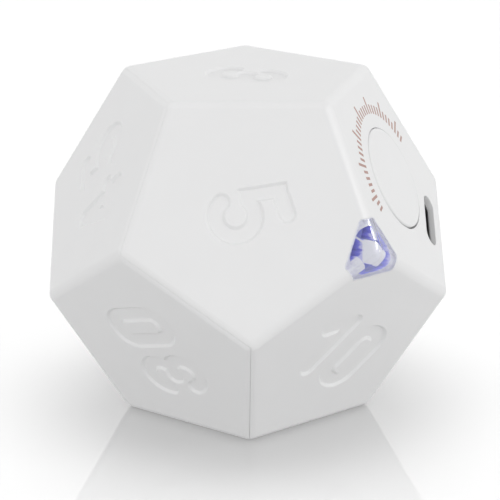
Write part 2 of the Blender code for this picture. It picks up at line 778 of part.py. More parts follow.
def build_corner_lens():
    lens = add_object("corner_lens", dodecahedron_mesh("corner_lens", IN_RADIUS), material=LENS_BLUE)
    lens.location = CENTRE
    round_casing_edges(lens)
    plug = plate_mesh("lens_plug", [lens_outline(0)], LENS_BACK, CORNER_RADIUS + CUT_OVERRUN)
    combine(lens, "INTERSECT", add_object("lens_plug", plug, LENS_FRAME, helper=True))
    slab = plate_mesh(
        "lens_slab", [lens_outline(LENS_FLANGE)], LENS_BACK, CORNER_RADIUS - LENS_FLANGE_DROP
    )
    slab_cutter = add_object("lens_slab", slab, LENS_FRAME, helper=True)
    flange = inner_block("lens_flange", CAVITY_RADIUS - SEAT_GAP, slab_cutter)
    combine(lens, "UNION", flange)
    pocket = cylinder_mesh(
        "lens_pocket", LENS_POCKET_DIAMETER, LENS_BACK - CUT_OVERRUN,
        LENS_BACK + LENS_POCKET_DEPTH, SCREW_STEPS,
    )
    combine(lens, "DIFFERENCE", add_object("lens_pocket", pocket, LENS_FRAME, helper=True))
    return lens


def build_lamp():
    board = cylinder_mesh(
        "led_board", LED_BOARD_DIAMETER, LED_BOARD_BACK, LED_BOARD_TOP, ROUND_STEPS // 2
    )
    add_object("led_board", board, LENS_FRAME, BOARD_WHITE)
    middle = LED_BOARD_TOP + SOLDER_GAP + LED_HEIGHT / 2
    led = box_mesh("status_led", (LED_LENGTH, LED_WIDTH, LED_HEIGHT), (0, 0, middle))
    soften(add_object("status_led", led, LENS_FRAME, LED_YELLOW), SWITCH_EDGE, 1)


# Button and switch

def build_button_cap():
    top = IN_RADIUS - BUTTON_RECESS
    radius = BUTTON_HOLE_DIAMETER / 2 - BUTTON_CLEARANCE
    rounding = arc(
        radius - BUTTON_EDGE_ROUND, top - BUTTON_EDGE_ROUND, BUTTON_EDGE_ROUND, BUTTON_EDGE_ROUND, 90, 0
    )
    flange_bottom = FLANGE_TOP - BUTTON_FLANGE_THICKNESS
    hollow = radius - BUTTON_WALL
    stem = BUTTON_STEM_DIAMETER / 2
    profile = [(0, top)] + [(point.x, point.y) for point in rounding] + [
        (radius, FLANGE_TOP),
        (FLANGE_RADIUS, FLANGE_TOP),
        (FLANGE_RADIUS, flange_bottom),
        (hollow, flange_bottom),
        (hollow, top - BUTTON_WALL),
        (stem, top - BUTTON_WALL),
        (stem, PLUNGER_TOP + SEAT_GAP),
        (0, PLUNGER_TOP + SEAT_GAP),
    ]
    return add_turned("button_cap", profile, ROUND_STEPS, BUTTON_FRAME, BUTTON_WHITE)


def build_switch():
    plunger_bottom = SWITCH_TOP - PLUNGER_DEPTH
    middle = SWITCH_TOP - SWITCH_HEIGHT / 2
    mesh = box_mesh("switch_body", (SWITCH_SIDE, SWITCH_SIDE, SWITCH_HEIGHT), (0, 0, middle))
    body = add_object("switch_body", mesh, BUTTON_FRAME, PLASTIC_BLACK)
    soften(body, SWITCH_EDGE, 1)
    well = cylinder_mesh(
        "switch_well", PLUNGER_DIAMETER + 2 * PLUNGER_CLEARANCE,
        plunger_bottom - BUTTON_TRAVEL - SEAT_GAP, SWITCH_TOP + CUT_OVERRUN, SCREW_STEPS * 2,
    )
    combine(body, "DIFFERENCE", add_object("switch_well", well, BUTTON_FRAME, helper=True))
    pin = cylinder_mesh(
        "switch_plunger", PLUNGER_DIAMETER, plunger_bottom, PLUNGER_TOP, SCREW_STEPS * 2
    )
    add_object("switch_plunger", pin, BUTTON_FRAME, SOCKET_IVORY)


# Circuit board and what it carries

def cavity_apothem(height):
    """Least distance from the button axis to the cavity's wall at a height on that axis."""
    slope = BUTTON_AXIS.dot(sum(RINGS["top"], Vector()).normalized())
    return (CAVITY_RADIUS - slope * height) / math.sqrt(1 - slope**2)


def pcb_outline():
    """A pentagon that follows the cavity, with the corner under the clear corner cut off."""
    apothem = cavity_apothem(PCB_TOP) - PCB_EDGE_GAP
    corners = regular_corners(5, apothem, LENS_CORNER_ANGLE)
    lean = BUTTON_AXIS.dot(LENS_AXIS)
    reach = (LED_BOARD_BACK - lean * PCB_TOP) / math.sqrt(1 - lean**2) - LED_BOARD_MARGIN
    outward = corners[0].normalized()
    share = (corners[0].length - reach) / (corners[0] - corners[1]).dot(outward)
    cut = [corners[0].lerp(corners[4], share), corners[0].lerp(corners[1], share)]
    return rounded_polygon(cut + corners[1:], PCB_CORNER, 3)


def build_main_pcb():
    outlines = [pcb_outline()]
    for angle in BOSS_ANGLES:
        x, y = BOSS_CIRCLE * math.cos(angle), BOSS_CIRCLE * math.sin(angle)
        outlines.append(circle(BOSS_HOLE_DIAMETER / 2, SCREW_STEPS, x, y))
    mesh = plate_mesh("main_pcb", outlines, PCB_BOTTOM, PCB_TOP)
    return add_object("main_pcb", mesh, BUTTON_FRAME, BOARD_GREEN)


def build_pcb_screws():
    """Pan head screws put in from behind the board, up into the bosses."""
    head_top, head_bottom = SCREW_HEAD_TOP, SCREW_HEAD_BOTTOM
    shank = SCREW_SHANK_DIAMETER / 2
    profile = [
        (0, head_top + SCREW_SHANK_LENGTH),
        (shank / 2, head_top + SCREW_SHANK_LENGTH),
        (shank, head_top + SCREW_SHANK_LENGTH - shank),
        (shank, head_top),
        (SCREW_HEAD_DIAMETER / 2, head_top),
        (SCREW_HEAD_DIAMETER / 2, head_top - SCREW_HEAD_HEIGHT / 2),
        (SCREW_HEAD_DIAMETER / 3, head_bottom),
        (0, head_bottom),
    ]
    for number, angle in enumerate(BOSS_ANGLES, 1):
        place = Matrix.Translation((BOSS_CIRCLE * math.cos(angle), BOSS_CIRCLE * math.sin(angle), 0))
        frame = add_frame(f"screw_axis_{number}", place, BUTTON_FRAME)
        screw = add_turned(f"pcb_screw_{number}", profile, SCREW_STEPS, frame, SCREW_STEEL)
        long_side = SCREW_HEAD_DIAMETER / 2
        for turn, size in enumerate(((long_side, SCREW_RECESS_WIDTH), (SCREW_RECESS_WIDTH, long_side))):
            name = f"screw_recess_{number}_{turn}"
            recess = box_mesh(name, (*size, 2 * SCREW_RECESS_DEPTH), (0, 0, head_bottom))
            combine(screw, "DIFFERENCE", add_object(name, recess, frame, helper=True))


def add_chip(name, size, x, y, material, below=False, edge=0):
    """A small part soldered to the board, on its top or, where below is true, under it."""
    if below:
        middle = PCB_BOTTOM - SOLDER_GAP - size[2] / 2
    else:
        middle = PCB_TOP + SOLDER_GAP + size[2] / 2
    chip = add_object(name, box_mesh(name, size, (x, y, middle)), BUTTON_FRAME, material)
    if edge:
        soften(chip, edge, 1)
    return chip


def build_chips():
    """Chips round the switch, and a row of small parts beside the processor."""
    step = SWITCH_SIDE / 2 + CHIP_GAP
    mcu_x = -step - MCU_SIZE[0] / 2
    add_chip("mcu_chip", MCU_SIZE, mcu_x, 0, CHIP_BLACK)
    add_chip("motion_sensor_chip", SENSOR_SIZE, 0, -step - SENSOR_SIZE[1] / 2, CHIP_BLACK)
    add_chip("charger_chip", CHARGER_SIZE, step + CHARGER_SIZE[0] / 2, 0, CHIP_BLACK)
    crystal_y = -MCU_SIZE[1] / 2 - CHIP_GAP - CRYSTAL_SIZE[1] / 2
    add_chip("crystal", CRYSTAL_SIZE, mcu_x, crystal_y, STEEL)
    row_y = MCU_SIZE[1] / 2 + CHIP_GAP + CAPACITOR_SIZE[1] / 2
    resistor_y = row_y + (CAPACITOR_SIZE[1] + RESISTOR_SIZE[1]) / 2 + CHIP_GAP
    for number in range(1, 4):
        x = mcu_x + (number - 2) * (CAPACITOR_SIZE[0] + CHIP_GAP / 2)
        add_chip(f"capacitor_{number}", CAPACITOR_SIZE, x, row_y, CERAMIC_TAN)
        add_chip(f"resistor_{number}", RESISTOR_SIZE, x, resistor_y, CHIP_BLACK)


def build_usb_socket():
    mouth = IN_RADIUS - USB_MOUTH_DEPTH
    foot = PCB_TOP + SOLDER_GAP
    inner_length = USB_LENGTH - 2 * USB_SHEET
    inner_width = USB_WIDTH - 2 * USB_SHEET
    rounding = USB_WIDTH / 2 - USB_SHEET / 2
    outer = rounded_rectangle(USB_WIDTH, USB_LENGTH, rounding, PORT_CORNER_STEPS)
    inner = rounded_rectangle(inner_width, inner_length, rounding - USB_SHEET, PORT_CORNER_STEPS)
    can = plate_mesh("usb_c_shell", [outer, inner], foot, mouth)
    add_object("usb_c_shell", can, PORT_FRAME, STEEL)
    base_size = (inner_width - 2 * SOLDER_GAP, inner_length - 2 * rounding, USB_BASE_HEIGHT)
    base = box_mesh("usb_c_tongue", base_size, (0, 0, foot + USB_BASE_HEIGHT / 2))
    tongue = add_object("usb_c_tongue", base, PORT_FRAME, PLASTIC_BLACK)
    tip = mouth - TONGUE_SETBACK
    length = min(TONGUE_LENGTH, base_size[1])
    blade_size = (TONGUE_THICKNESS, length, tip - foot - USB_BASE_HEIGHT / 2)
    blade = box_mesh("tongue_blade", blade_size, (0, 0, tip - blade_size[2] / 2))
    combine(tongue, "UNION", add_object("tongue_blade", blade, PORT_FRAME, helper=True))


def build_buzzer():
    """An open can under the board with a sound hole, and the disc that sounds in it."""
    radius = BUZZER_DIAMETER / 2
    centre_y = CELL_WIDTH / 2 + BUZZER_GAP + radius
    frame = add_frame("buzzer_axis", Matrix.Translation((0, centre_y, 0)), BUTTON_FRAME)
    top = PCB_BOTTOM - SOLDER_GAP
    floor = top - BUZZER_HEIGHT
    hole = BUZZER_SOUND_HOLE / 2
    inner = radius - BUZZER_WALL
    profile = [
        (inner, top), (radius, top), (radius, floor), (hole, floor),
        (hole, floor + BUZZER_WALL), (inner, floor + BUZZER_WALL), (inner, top),
    ]
    add_turned("buzzer_case", profile, ROUND_STEPS // 2, frame, PLASTIC_BLACK)
    disc_bottom = floor + BUZZER_WALL + SEAT_GAP
    disc = cylinder_mesh(
        "buzzer_disc", 2 * (inner - SEAT_GAP), disc_bottom,
        disc_bottom + BUZZER_DISC_THICKNESS, ROUND_STEPS // 2,
    )
    add_object("buzzer_disc", disc, frame, BRASS)


# Battery

def build_battery():
    middle = CELL_TOP - CELL_THICKNESS / 2
    cell = box_mesh("battery_cell", (CELL_LENGTH, CELL_WIDTH, CELL_THICKNESS), (0, 0, middle))
    soften(add_object("battery_cell", cell, BUTTON_FRAME, CELL_FOIL), CELL_EDGE)
    pad_top = PCB_BOTTOM - SEAT_GAP
    pad_bottom = CELL_TOP + SEAT_GAP
    size = (CELL_LENGTH - 2 * PAD_MARGIN, CELL_WIDTH - 2 * PAD_MARGIN, pad_top - pad_bottom)
    pad = box_mesh("battery_pad", size, (0, 0, (pad_top + pad_bottom) / 2))
    add_object("battery_pad", pad, BUTTON_FRAME, FOAM_GREY)
    board_x = -(CELL_LENGTH + CELL_BOARD_LENGTH) / 2 - SEAT_GAP
    size = (CELL_BOARD_LENGTH, CELL_BOARD_WIDTH, CELL_BOARD_THICKNESS)
    board = box_mesh("cell_protection_board", size, (board_x, 0, middle))
    add_object("cell_protection_board", board, BUTTON_FRAME, BOARD_GREEN)
    return Vector((board_x - CELL_BOARD_LENGTH / 2, 0, middle))


def build_battery_plug():
    """A small socket under the board, open toward the leads, with its plug in it."""
    length, width, height = SOCKET_SIZE
    centre_x = length - CELL_LENGTH / 2
    centre_y = -CELL_WIDTH / 2 - CHIP_GAP - width / 2
    socket = add_chip("battery_socket", SOCKET_SIZE, centre_x, centre_y, SOCKET_IVORY, below=True)
    middle = PCB_BOTTOM - SOLDER_GAP - height / 2
    mouth_size = (length, width - 2 * SOCKET_WALL, height - 2 * SOCKET_WALL)
    mouth = box_mesh("socket_mouth", mouth_size, (centre_x - SOCKET_WALL, centre_y, middle))
    combine(socket, "DIFFERENCE", add_object("socket_mouth", mouth, BUTTON_FRAME, helper=True))
    plug_size = (
        length - SOCKET_WALL - PLUG_GAP + PLUG_STICKS_OUT,
        mouth_size[1] - 2 * PLUG_GAP,
        mouth_size[2] - 2 * PLUG_GAP,
    )
    plug_x = centre_x + length / 2 - SOCKET_WALL - PLUG_GAP - plug_size[0] / 2
    plug = box_mesh("battery_plug", plug_size, (plug_x, centre_y, middle))
    add_object("battery_plug", plug, BUTTON_FRAME, SOCKET_IVORY)
    return Vector((plug_x - plug_size[0] / 2, centre_y, middle))


def add_lead(name, start, start_way, end, end_way, material):
    """A round lead on a smooth bend between two ends, each given with its way out."""
    curve = bpy.data.curves.new(name, "CURVE")
    curve.dimensions = "3D"
    curve.bevel_depth = LEAD_DIAMETER / 2
    curve.bevel_resolution = 1
    curve.use_fill_caps = True
    spline = curve.splines.new("POLY")
    spline.points.add(LEAD_POINTS - 1)
    for i, target in enumerate(spline.points):
        t = i / (LEAD_POINTS - 1)
        point = (
            start * (1 - t) ** 3
            + (start + start_way) * 3 * t * (1 - t) ** 2
            + (end + end_way) * 3 * t**2 * (1 - t)
            + end * t**3
        )
        target.co = (*point, 1)
    obj = bpy.data.objects.new(name, curve)
    PARTS.objects.link(obj)
    obj.parent = BUTTON_FRAME
    curve.materials.append(material)
    return obj


def build_battery_leads(board_end, plug_end):
    bow = (cavity_apothem(board_end.z) - abs(board_end.x)) * LEAD_BOW_SHARE
    for name, side, material in (
        ("battery_lead_red", -1, LEAD_RED),
        ("battery_lead_black", 1, LEAD_BLACK),
    ):
        start = board_end + Vector((-SEAT_GAP, side * LEAD_PITCH / 2 - CELL_BOARD_WIDTH / 4, 0))
        end = plug_end + Vector((-SEAT_GAP, -side * LEAD_PITCH / 2, 0))
        reach = bow + side * LEAD_PITCH * LEAD_NEST_SHARE
        add_lead(name, start, Vector((-reach, -bow / 2, 0)), end, Vector((-reach, 0, 0)), material)


def build_led_leads():
    """Two leads from the back of the lamp's board to the top of the main board."""
    to_button = BUTTON_FRAME.matrix_local.inverted() @ LENS_FRAME.matrix_local
    lens_way = to_button.to_3x3() @ Vector((0, 0, -1))
    inward = Vector((-math.cos(LENS_CORNER_ANGLE), -math.sin(LENS_CORNER_ANGLE), 0))
    sideways = Vector((-inward.y, inward.x, 0))
    middle = to_button @ Vector((0, 0, LED_BOARD_BACK - SEAT_GAP))
    drop = middle.z - PCB_TOP - SEAT_GAP
    for name, side, material in (
        ("led_lead_supply", -1, LEAD_RED),
        ("led_lead_return", 1, LEAD_BLACK),
    ):
        start = middle + sideways * side * LED_LEAD_PITCH / 2
        end = start + inward * LED_BOARD_DIAMETER / 4 - Vector((0, 0, drop))
        add_lead(name, start, lens_way * drop / 2, end, Vector((0, 0, drop)), material)


def build_timer():
    cavity = inner_block("cavity", CAVITY_RADIUS)
    build_front_shell(cavity)
    build_rear_shell(cavity)
    build_corner_lens()
    build_lamp()
    build_button_cap()
    build_switch()
    build_main_pcb()
    build_pcb_screws()
    build_chips()
    build_usb_socket()
    build_buzzer()
    build_battery_leads(build_battery(), build_battery_plug())
    build_led_leads()
    bpy.context.view_layer.update()


build_timer()
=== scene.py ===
# Dodecahedral flip timer, dressed round the imported model: a white moulded casing with engraved
# minutes, a push button, a charging socket and a clear corner over a guide with painted glow. Metres,
# resting face on Z = 0.
import json
import math

import bmesh
import bpy
from mathutils import Matrix, Vector

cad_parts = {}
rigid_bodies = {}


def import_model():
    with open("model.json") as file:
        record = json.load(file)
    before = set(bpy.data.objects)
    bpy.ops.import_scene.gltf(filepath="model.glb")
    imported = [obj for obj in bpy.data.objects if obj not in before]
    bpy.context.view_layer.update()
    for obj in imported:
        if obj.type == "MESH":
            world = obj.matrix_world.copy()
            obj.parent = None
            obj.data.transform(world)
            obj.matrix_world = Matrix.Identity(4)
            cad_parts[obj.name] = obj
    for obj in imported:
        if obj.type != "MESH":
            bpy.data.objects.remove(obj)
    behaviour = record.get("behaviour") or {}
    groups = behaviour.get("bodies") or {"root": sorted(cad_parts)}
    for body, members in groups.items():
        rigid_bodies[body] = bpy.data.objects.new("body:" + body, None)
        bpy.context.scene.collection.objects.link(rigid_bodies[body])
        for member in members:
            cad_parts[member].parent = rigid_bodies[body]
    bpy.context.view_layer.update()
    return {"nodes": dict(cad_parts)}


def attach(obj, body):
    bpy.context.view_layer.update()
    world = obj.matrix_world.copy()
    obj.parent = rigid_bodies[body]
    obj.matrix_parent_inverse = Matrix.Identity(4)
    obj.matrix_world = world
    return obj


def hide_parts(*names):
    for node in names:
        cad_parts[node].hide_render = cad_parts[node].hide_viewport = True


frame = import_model()

# Casing
ACROSS_FLATS = 0.0600
EDGE_FILLET = 0.0022
FILLET_STEPS = 7
WALL = 0.0022
SEAM_GAP = 0.00003
SEAM_TURN = 0.0005
LIP_HEIGHT = 0.0030
LIP_GAP = 0.0002
SEAT_GAP = 0.0003
SOLDER_GAP = 0.0002
CUT_OVERRUN = 0.0020
WELD_DISTANCE = 0.000001
SHARP_ANGLE = math.radians(38)
FLAT_WEIGHT = 60
CUTTER_SHARE = 1.3

# Engraved minutes
DIGIT_HEIGHT = 0.0144
DIGIT_WIDTH = 0.0089
DIGIT_STROKE = 0.0028
DIGIT_SPACE = 0.0023
DIGIT_DEPTH = 0.00045
GROOVE_RIM = 0.00040
GROOVE_FLOOR = 0.00025
GROOVE_SLOPE = math.radians(46)
GROOVE_STEPS = 4
RIM_LIFT = 0.000003
ZERO_STROKE = 0.00295
ZERO_CORNER = 0.0041
ZERO_STEPS = 10
ONE_WIDTH = 0.0069
ONE_FLAG_DROP = 0.0035
# Start and end of each digit's arc, in degrees
TWO_HOOK = (165, -38)
THREE_LOBES = ((175, -98), (-175, 98))
FIVE_BOWL = (-154, 118)
SIX_SWEEP = (180, 96)
FIVE_BOWL_RADIUS = 0.0047
FIVE_STEM_TOP = 0.0016
FIVE_STEM_LEAN = 0.0013
FIVE_STEM_WIDTH = 0.0024
FOUR_STEM_SHARE = 0.35
FOUR_BAR_SHARE = 0.38
SIX_SWEEP_SHARE = 1.7

# Button, guide, board bosses
BUTTON_HOLE_DIAMETER = 0.0188
BUTTON_CLEARANCE = 0.0003
BUTTON_GAP = 0.0002
BUTTON_REST = (0.00005, 0.0001)
BUTTON_STAND = 0.00015
BUTTON_EDGE_ROUND = 0.0004
BUTTON_EDGE_STEP = 15
BUTTON_WALL = 0.0014
BUTTON_FLANGE_OVERLAP = 0.0007
BUTTON_FLANGE_THICKNESS = 0.0010
BUTTON_STEM_DIAMETER = 0.0036
HOLE_RIM = 0.00015
RIM_STEPS = 4
GUIDE_WALL = 0.0009
GUIDE_DEPTH = 0.0022
ROUND_STEPS = 144
SMALL_ROUND_STEPS = 48
CORNER_STEPS = 8
ARC_STEP = 9
PCB_DEPTH = 0.0100
SWITCH_HEIGHT = 0.0035
PLUNGER_REACH = 0.0015
BOSS_DIAMETER = 0.0046
BOSS_INSET = 0.0034
BOSS_HOLE_DIAMETER = 0.0020
BOSS_HOLE_DEPTH = 0.0058
BOSS_ANGLES = (54, 126, -90, -18)
BOSS_STEPS = 32
BOSS_HOLE_STEPS = 24

# Charging socket
PORT_ANGLE = -54
PORT_OFFSET = 0.0135
PORT_SLOT_LENGTH = 0.0106
PORT_SLOT_WIDTH = 0.0036
PORT_END_SHARE = 0.49
USB_LENGTH = 0.0089
USB_WIDTH = 0.0031
USB_SHEET = 0.0003
USB_STEPS = 12
USB_EDGE = USB_SHEET / 4
USB_EDGE_STEPS = 2
USB_MOUTH_DEPTH = 0.0009
TONGUE_THICKNESS = 0.0007
TONGUE_SETBACK = 0.0005
CONTACT_TIP = 0.0002

# Clear corner and its lamp
LENS_INRADIUS = 0.00407
LENS_CUT_CORNER = 0.0057
LENS_CORNER = 0.0006
LENS_STEPS = 5
# Turns of the triangle's corners and of its sides
LENS_TURNS = (90, 210, 330)
LENS_SIDES = (30, 150, 270)
LENS_HALF_ANGLE = math.radians(30)
LENS_GAP = 0.00005
LENS_SKIN = 0.0002
GUIDE_DROP = 0.0007
LENS_AIR = 0.00002
LENS_RIM = 0.00012
LENS_FLANGE = 0.0011
LENS_BACK_DEPTH = 0.0080
LENS_FLANGE_DROP = 0.0010
LENS_POCKET_DIAMETER = 0.0052
LENS_POCKET_DEPTH = 0.0025
WELL_INRADIUS = 0.00345
WELL_CORNER = 0.0025
WELL_FLOOR = 0.0052
WELL_MARGIN = 0.0001
WELL_REACH = 2 * WELL_INRADIUS - WELL_CORNER + WELL_MARGIN
# Outline of the post, across the lens axis
GUIDE_CORNERS = (
    (0.00255, -0.0006), (0.0010, 0.00135), (-0.0014, 0.00238), (-0.00241, -0.0011), (0.0009, -0.00248),
)
GUIDE_CORNER = 0.0005
# Webs that hold the post in its well: turn, start and half the width
GUIDE_WEBS = ((210, 0.0027, 0.00135), (128, 0.0018, 0.00016), (68, 0.0021, 0.0007))
GUIDE_TAPER = 1.12
# Faces of the guide that look up more than this belong to its ends
GUIDE_LEVEL = 0.6

# Finishes
BROAD_MOTTLE = 120
STRAY_SCALE = 480
PATCH_SCALE = 180
# Levels between which a noise's values mostly lie
NOISE_LEVELS = (0.3, 0.7)
PALE = (0.8, 0.8, 0.8, 1)
BLACK = (0, 0, 0, 1)
WHITE = (1, 1, 1, 1)
WHITE_PLASTIC = {"colour": (0.83, 0.83, 0.832), "roughness": 0.32, "mottle": 0.012, "relief": 0.000006}
# Copper runs: how each kind is turned and how many pitches long it is
TRACE_RUNS = ((0, 14), (math.pi / 2, 9))
# Where a Mix node keeps its factor and its two colours, and the mixed one
MIX_COLOUR_INPUTS = (0, 6, 7)
MIX_COLOUR_OUTPUT = 2

# Stage
FLOOR_REACH = 3
FLOOR_DROP = 0.00002
FLOOR_COLOUR = (0.73, 0.73, 0.73, 1)
FLOOR_ROUGHNESS = 0.035
FLOOR_IOR = 2.4
FLOOR_UNDERLIGHT = 0.475
SKY_STRENGTH = 0.80
HORIZON_STRENGTH = 1.50
HORIZON_RISE = 0.5
# Square lamps that face the middle of the casing: name, turn and rise in degrees, distance and size
# in metres, watts, and the pieces they light, where not all. A glint adds no diffuse light
LAMPS = (
    ("right_high", -13, 33, 2.0, 0.3, 1.6),
    ("front_low", -90, 5, 2.0, 0.3, 4.0),
    ("right_low", 0, 5, 2.0, 0.3, 2.6),
    ("lens_glint", -13, 33, 2.0, 0.45, 9, "clear_corner"),
    ("edge_glint", -38, 35, 2.0, 0.3, 3.8, "casing_front", "casing_rear"),
    ("floor_lamp_top", 90, 90, 0.7, 0.6, 1.5, "floor"),
    ("floor_lamp_high", 90, 75, 0.7, 0.6, 1.8, "floor"),
    ("floor_lamp_low", 90, 50, 0.7, 0.6, 0.3, "floor"),
)
# Rise above which a lamp shows in mirrors
LOW_RISE = 10

# Camera: turns in radians, its place from the middle of the casing in edge lengths, and its lens
VIEW_TURN = 0.0182043
VIEW_DROP = 0.3315229
VIEW_ROLL = 0.0011058
VIEW_PLACE = (0.0201028, -0.0883279, 14.3546485)
VIEW_LENS = 155.19
SENSOR_WIDTH = 36
CLIP_START = 0.01

# Degrees of a fifth of a turn, and where the corners of the top and the base start
FIFTH = 72
TOP_TURN = -54
BASE_TURN = -18
FLAT_ANGLE = math.radians(1)
PHI = (1 + math.sqrt(5)) / 2
IN_RADIUS = ACROSS_FLATS / 2
CAVITY_RADIUS = IN_RADIUS - WALL
CENTRE = Vector((0, 0, IN_RADIUS))


# Dodecahedron geometry

def ring_point(radius, degrees, *height):
    """A point on a circle about the origin, with two coordinates where no height is given."""
    angle = math.radians(degrees)
    return Vector((radius * math.cos(angle), radius * math.sin(angle), *height))


def corner_rings(in_radius):
    """Corners about the centre in four rings of five: top, upper, lower and base."""
    side = in_radius * 2 * math.sqrt(3 - PHI) / PHI**2
    reach = side / (2 * math.sin(math.radians(FIFTH / 2)))
    low = in_radius / PHI**3
    rings = (
        (reach, TOP_TURN, in_radius), (reach * PHI, TOP_TURN, low),
        (reach * PHI, BASE_TURN, -low), (reach, BASE_TURN, -in_radius),
    )
    return [[ring_point(out, start + FIFTH * k, rise) for k in range(5)] for out, start, rise in rings]


TOP, UPPER, LOWER, BASE = corner_rings(IN_RADIUS)


def upper_face(k):
    return [TOP[k - 1], TOP[k], UPPER[k], LOWER[k - 1], UPPER[k - 1]]


def lower_face(k):
    return [UPPER[k], LOWER[k], BASE[k], BASE[k - 1], LOWER[k - 1]]


BUTTON_FACE = upper_face(1)
BUTTON_AXIS = sum(BUTTON_FACE, Vector()).normalized()
FACE_APOTHEM = ((BUTTON_FACE[0] + BUTTON_FACE[1]) / 2 - BUTTON_AXIS * IN_RADIUS).length
CORNER_RADIUS = UPPER[0].length
LENS_BACK = CORNER_RADIUS - LENS_BACK_DEPTH
LENS_TOP = CORNER_RADIUS + CUT_OVERRUN
WELL_BOTTOM = CORNER_RADIUS - WELL_FLOOR


def axis_frame(axis, up_point):
    """Axes at the centre of the casing: Z along axis, Y toward up_point, X to the right."""
    up = (up_point - axis * up_point.dot(axis)).normalized()
    turn = Matrix((up.cross(axis), up, axis)).transposed()
    return Matrix.Translation(CENTRE) @ turn.to_4x4()


def face_frame(corners, up_corners):
    """Frame of a face that reads up to the edge it shares with another face."""
    shared = [p for p in corners if min((p - q).length for q in up_corners) < WELD_DISTANCE]
    return axis_frame(sum(corners, Vector()).normalized(), sum(shared, Vector()))


BUTTON_FRAME = axis_frame(BUTTON_AXIS, BUTTON_FACE[0] + BUTTON_FACE[1])
LENS_FRAME = axis_frame(UPPER[0].normalized(), TOP[0])
PORT_FRAME = BUTTON_FRAME @ Matrix.Rotation(math.radians(PORT_ANGLE), 4, "Z")
PORT_FRAME = PORT_FRAME @ Matrix.Translation((PORT_OFFSET, 0, 0))


# Mesh tools

HELPERS = bpy.data.collections.new("cutters")
bpy.context.scene.collection.children.link(HELPERS)


def helper(name, mesh, matrix=None):
    obj = bpy.data.objects.new(name, mesh)
    HELPERS.objects.link(obj)
    obj.matrix_world = matrix or Matrix.Identity(4)
    return obj


def in_scene(name, data):
    obj = bpy.data.objects.new(name, data)
    bpy.context.scene.collection.objects.link(obj)
    return obj


def group_of(name, objects):
    group = bpy.data.collections.new(name)
    HELPERS.children.link(group)
    for obj in objects:
        group.objects.link(obj)
    return group


def combine(obj, operation, other):
    boolean = obj.modifiers.new(operation.lower(), "BOOLEAN")
    boolean.operation = operation
    boolean.solver = "MANIFOLD"
    if isinstance(other, bpy.types.Collection):
        boolean.operand_type = "COLLECTION"
        boolean.collection = other
    else:
        boolean.object = other


def mesh_of(name, body):
    bmesh.ops.recalc_face_normals(body, faces=body.faces)
    mesh = bpy.data.meshes.new(name)
    body.to_mesh(mesh)
    body.free()
    return mesh


def evaluated_mesh(obj):
    """The object's mesh with its modifiers, in world space."""
    bpy.context.view_layer.update()
    graph = bpy.context.evaluated_depsgraph_get()
    mesh = bpy.data.meshes.new_from_object(obj.evaluated_get(graph))
    mesh.transform(obj.matrix_world)
    return mesh


def finished(name, obj):
    """A plain piece at the origin: doubles merged, flats flat and fillets smooth."""
    mesh = evaluated_mesh(obj)
    body = bmesh.new()
    body.from_mesh(mesh)
    bmesh.ops.remove_doubles(body, verts=body.verts, dist=WELD_DISTANCE)
    body.to_mesh(mesh)
    body.free()
    mesh.name = name
    mesh.shade_smooth()
    mesh.set_sharp_from_angle(angle=SHARP_ANGLE)
    mesh.materials.clear()
    shaped = helper(name + "_flat", mesh)
    weigh = shaped.modifiers.new("weigh", "WEIGHTED_NORMAL")
    weigh.mode = "FACE_AREA"
    weigh.weight = FLAT_WEIGHT
    weigh.keep_sharp = True
    final = evaluated_mesh(shaped)
    final.name = name
    bpy.data.objects.remove(shaped, do_unlink=True)
    return in_scene(name, final)


def loft(name, rings, matrix, hollow=False):
    """A skin over outlines of one point count: capped at both ends, or run back to the first."""
    body = bmesh.new()
    rows = [[body.verts.new(point) for point in ring] for ring in rings]
    caps = [] if hollow else [rows[0], rows[-1]]
    if hollow:
        rows.append(rows[0])
    for below, above in zip(rows, rows[1:]):
        for i in range(len(below)):
            body.faces.new((below[i - 1], below[i], above[i], above[i - 1]))
    for cap in caps:
        body.faces.new(cap)
    return helper(name, mesh_of(name, body), matrix)


def at_height(outline, height):
    return [Vector((point.x, point.y, height)) for point in outline]


def arc(centre_x, centre_y, radius_x, radius_y, start, end, step=ARC_STEP):
    """Points on an ellipse from start to end, in degrees, both ends included."""
    count = max(2, math.ceil(abs(end - start) / step))
    angles = [math.radians(start + (end - start) * i / count) for i in range(count + 1)]
    return [Vector((centre_x + radius_x * math.cos(a), centre_y + radius_y * math.sin(a))) for a in angles]


def circle(radius, steps=ROUND_STEPS, centre=(0, 0)):
    return arc(centre[0], centre[1], radius, radius, 0, 360 - 360 / steps, 360 / steps)


def rounded_polygon(corners, radius, steps=CORNER_STEPS):
    """A convex outline, given anticlockwise, with each corner replaced by an arc."""
    points = []
    for i, corner in enumerate(corners):
        before = (corners[i - 1] - corner).normalized()
        after = (corners[(i + 1) % len(corners)] - corner).normalized()
        half_angle = before.angle(after) / 2
        middle = corner + (before + after).normalized() * radius / math.sin(half_angle)
        spread = math.pi / 2 - half_angle
        facing = math.atan2(*reversed(corner - middle))
        for step in range(steps + 1):
            angle = facing - spread + 2 * spread * step / steps
            points.append(middle + Vector((math.cos(angle), math.sin(angle))) * radius)
    return points


def rounded_rectangle(length, width, radius, steps=CORNER_STEPS):
    x, y = length / 2, width / 2
    corners = [Vector((x, y)), Vector((-x, y)), Vector((-x, -y)), Vector((x, -y))]
    return rounded_polygon(corners, radius, steps)


def tube(name, outer, inner, bottom, top, matrix):
    walk = (outer, bottom), (outer, top), (inner, top), (inner, bottom)
    return loft(name, [at_height(*step) for step in walk], matrix, hollow=True)


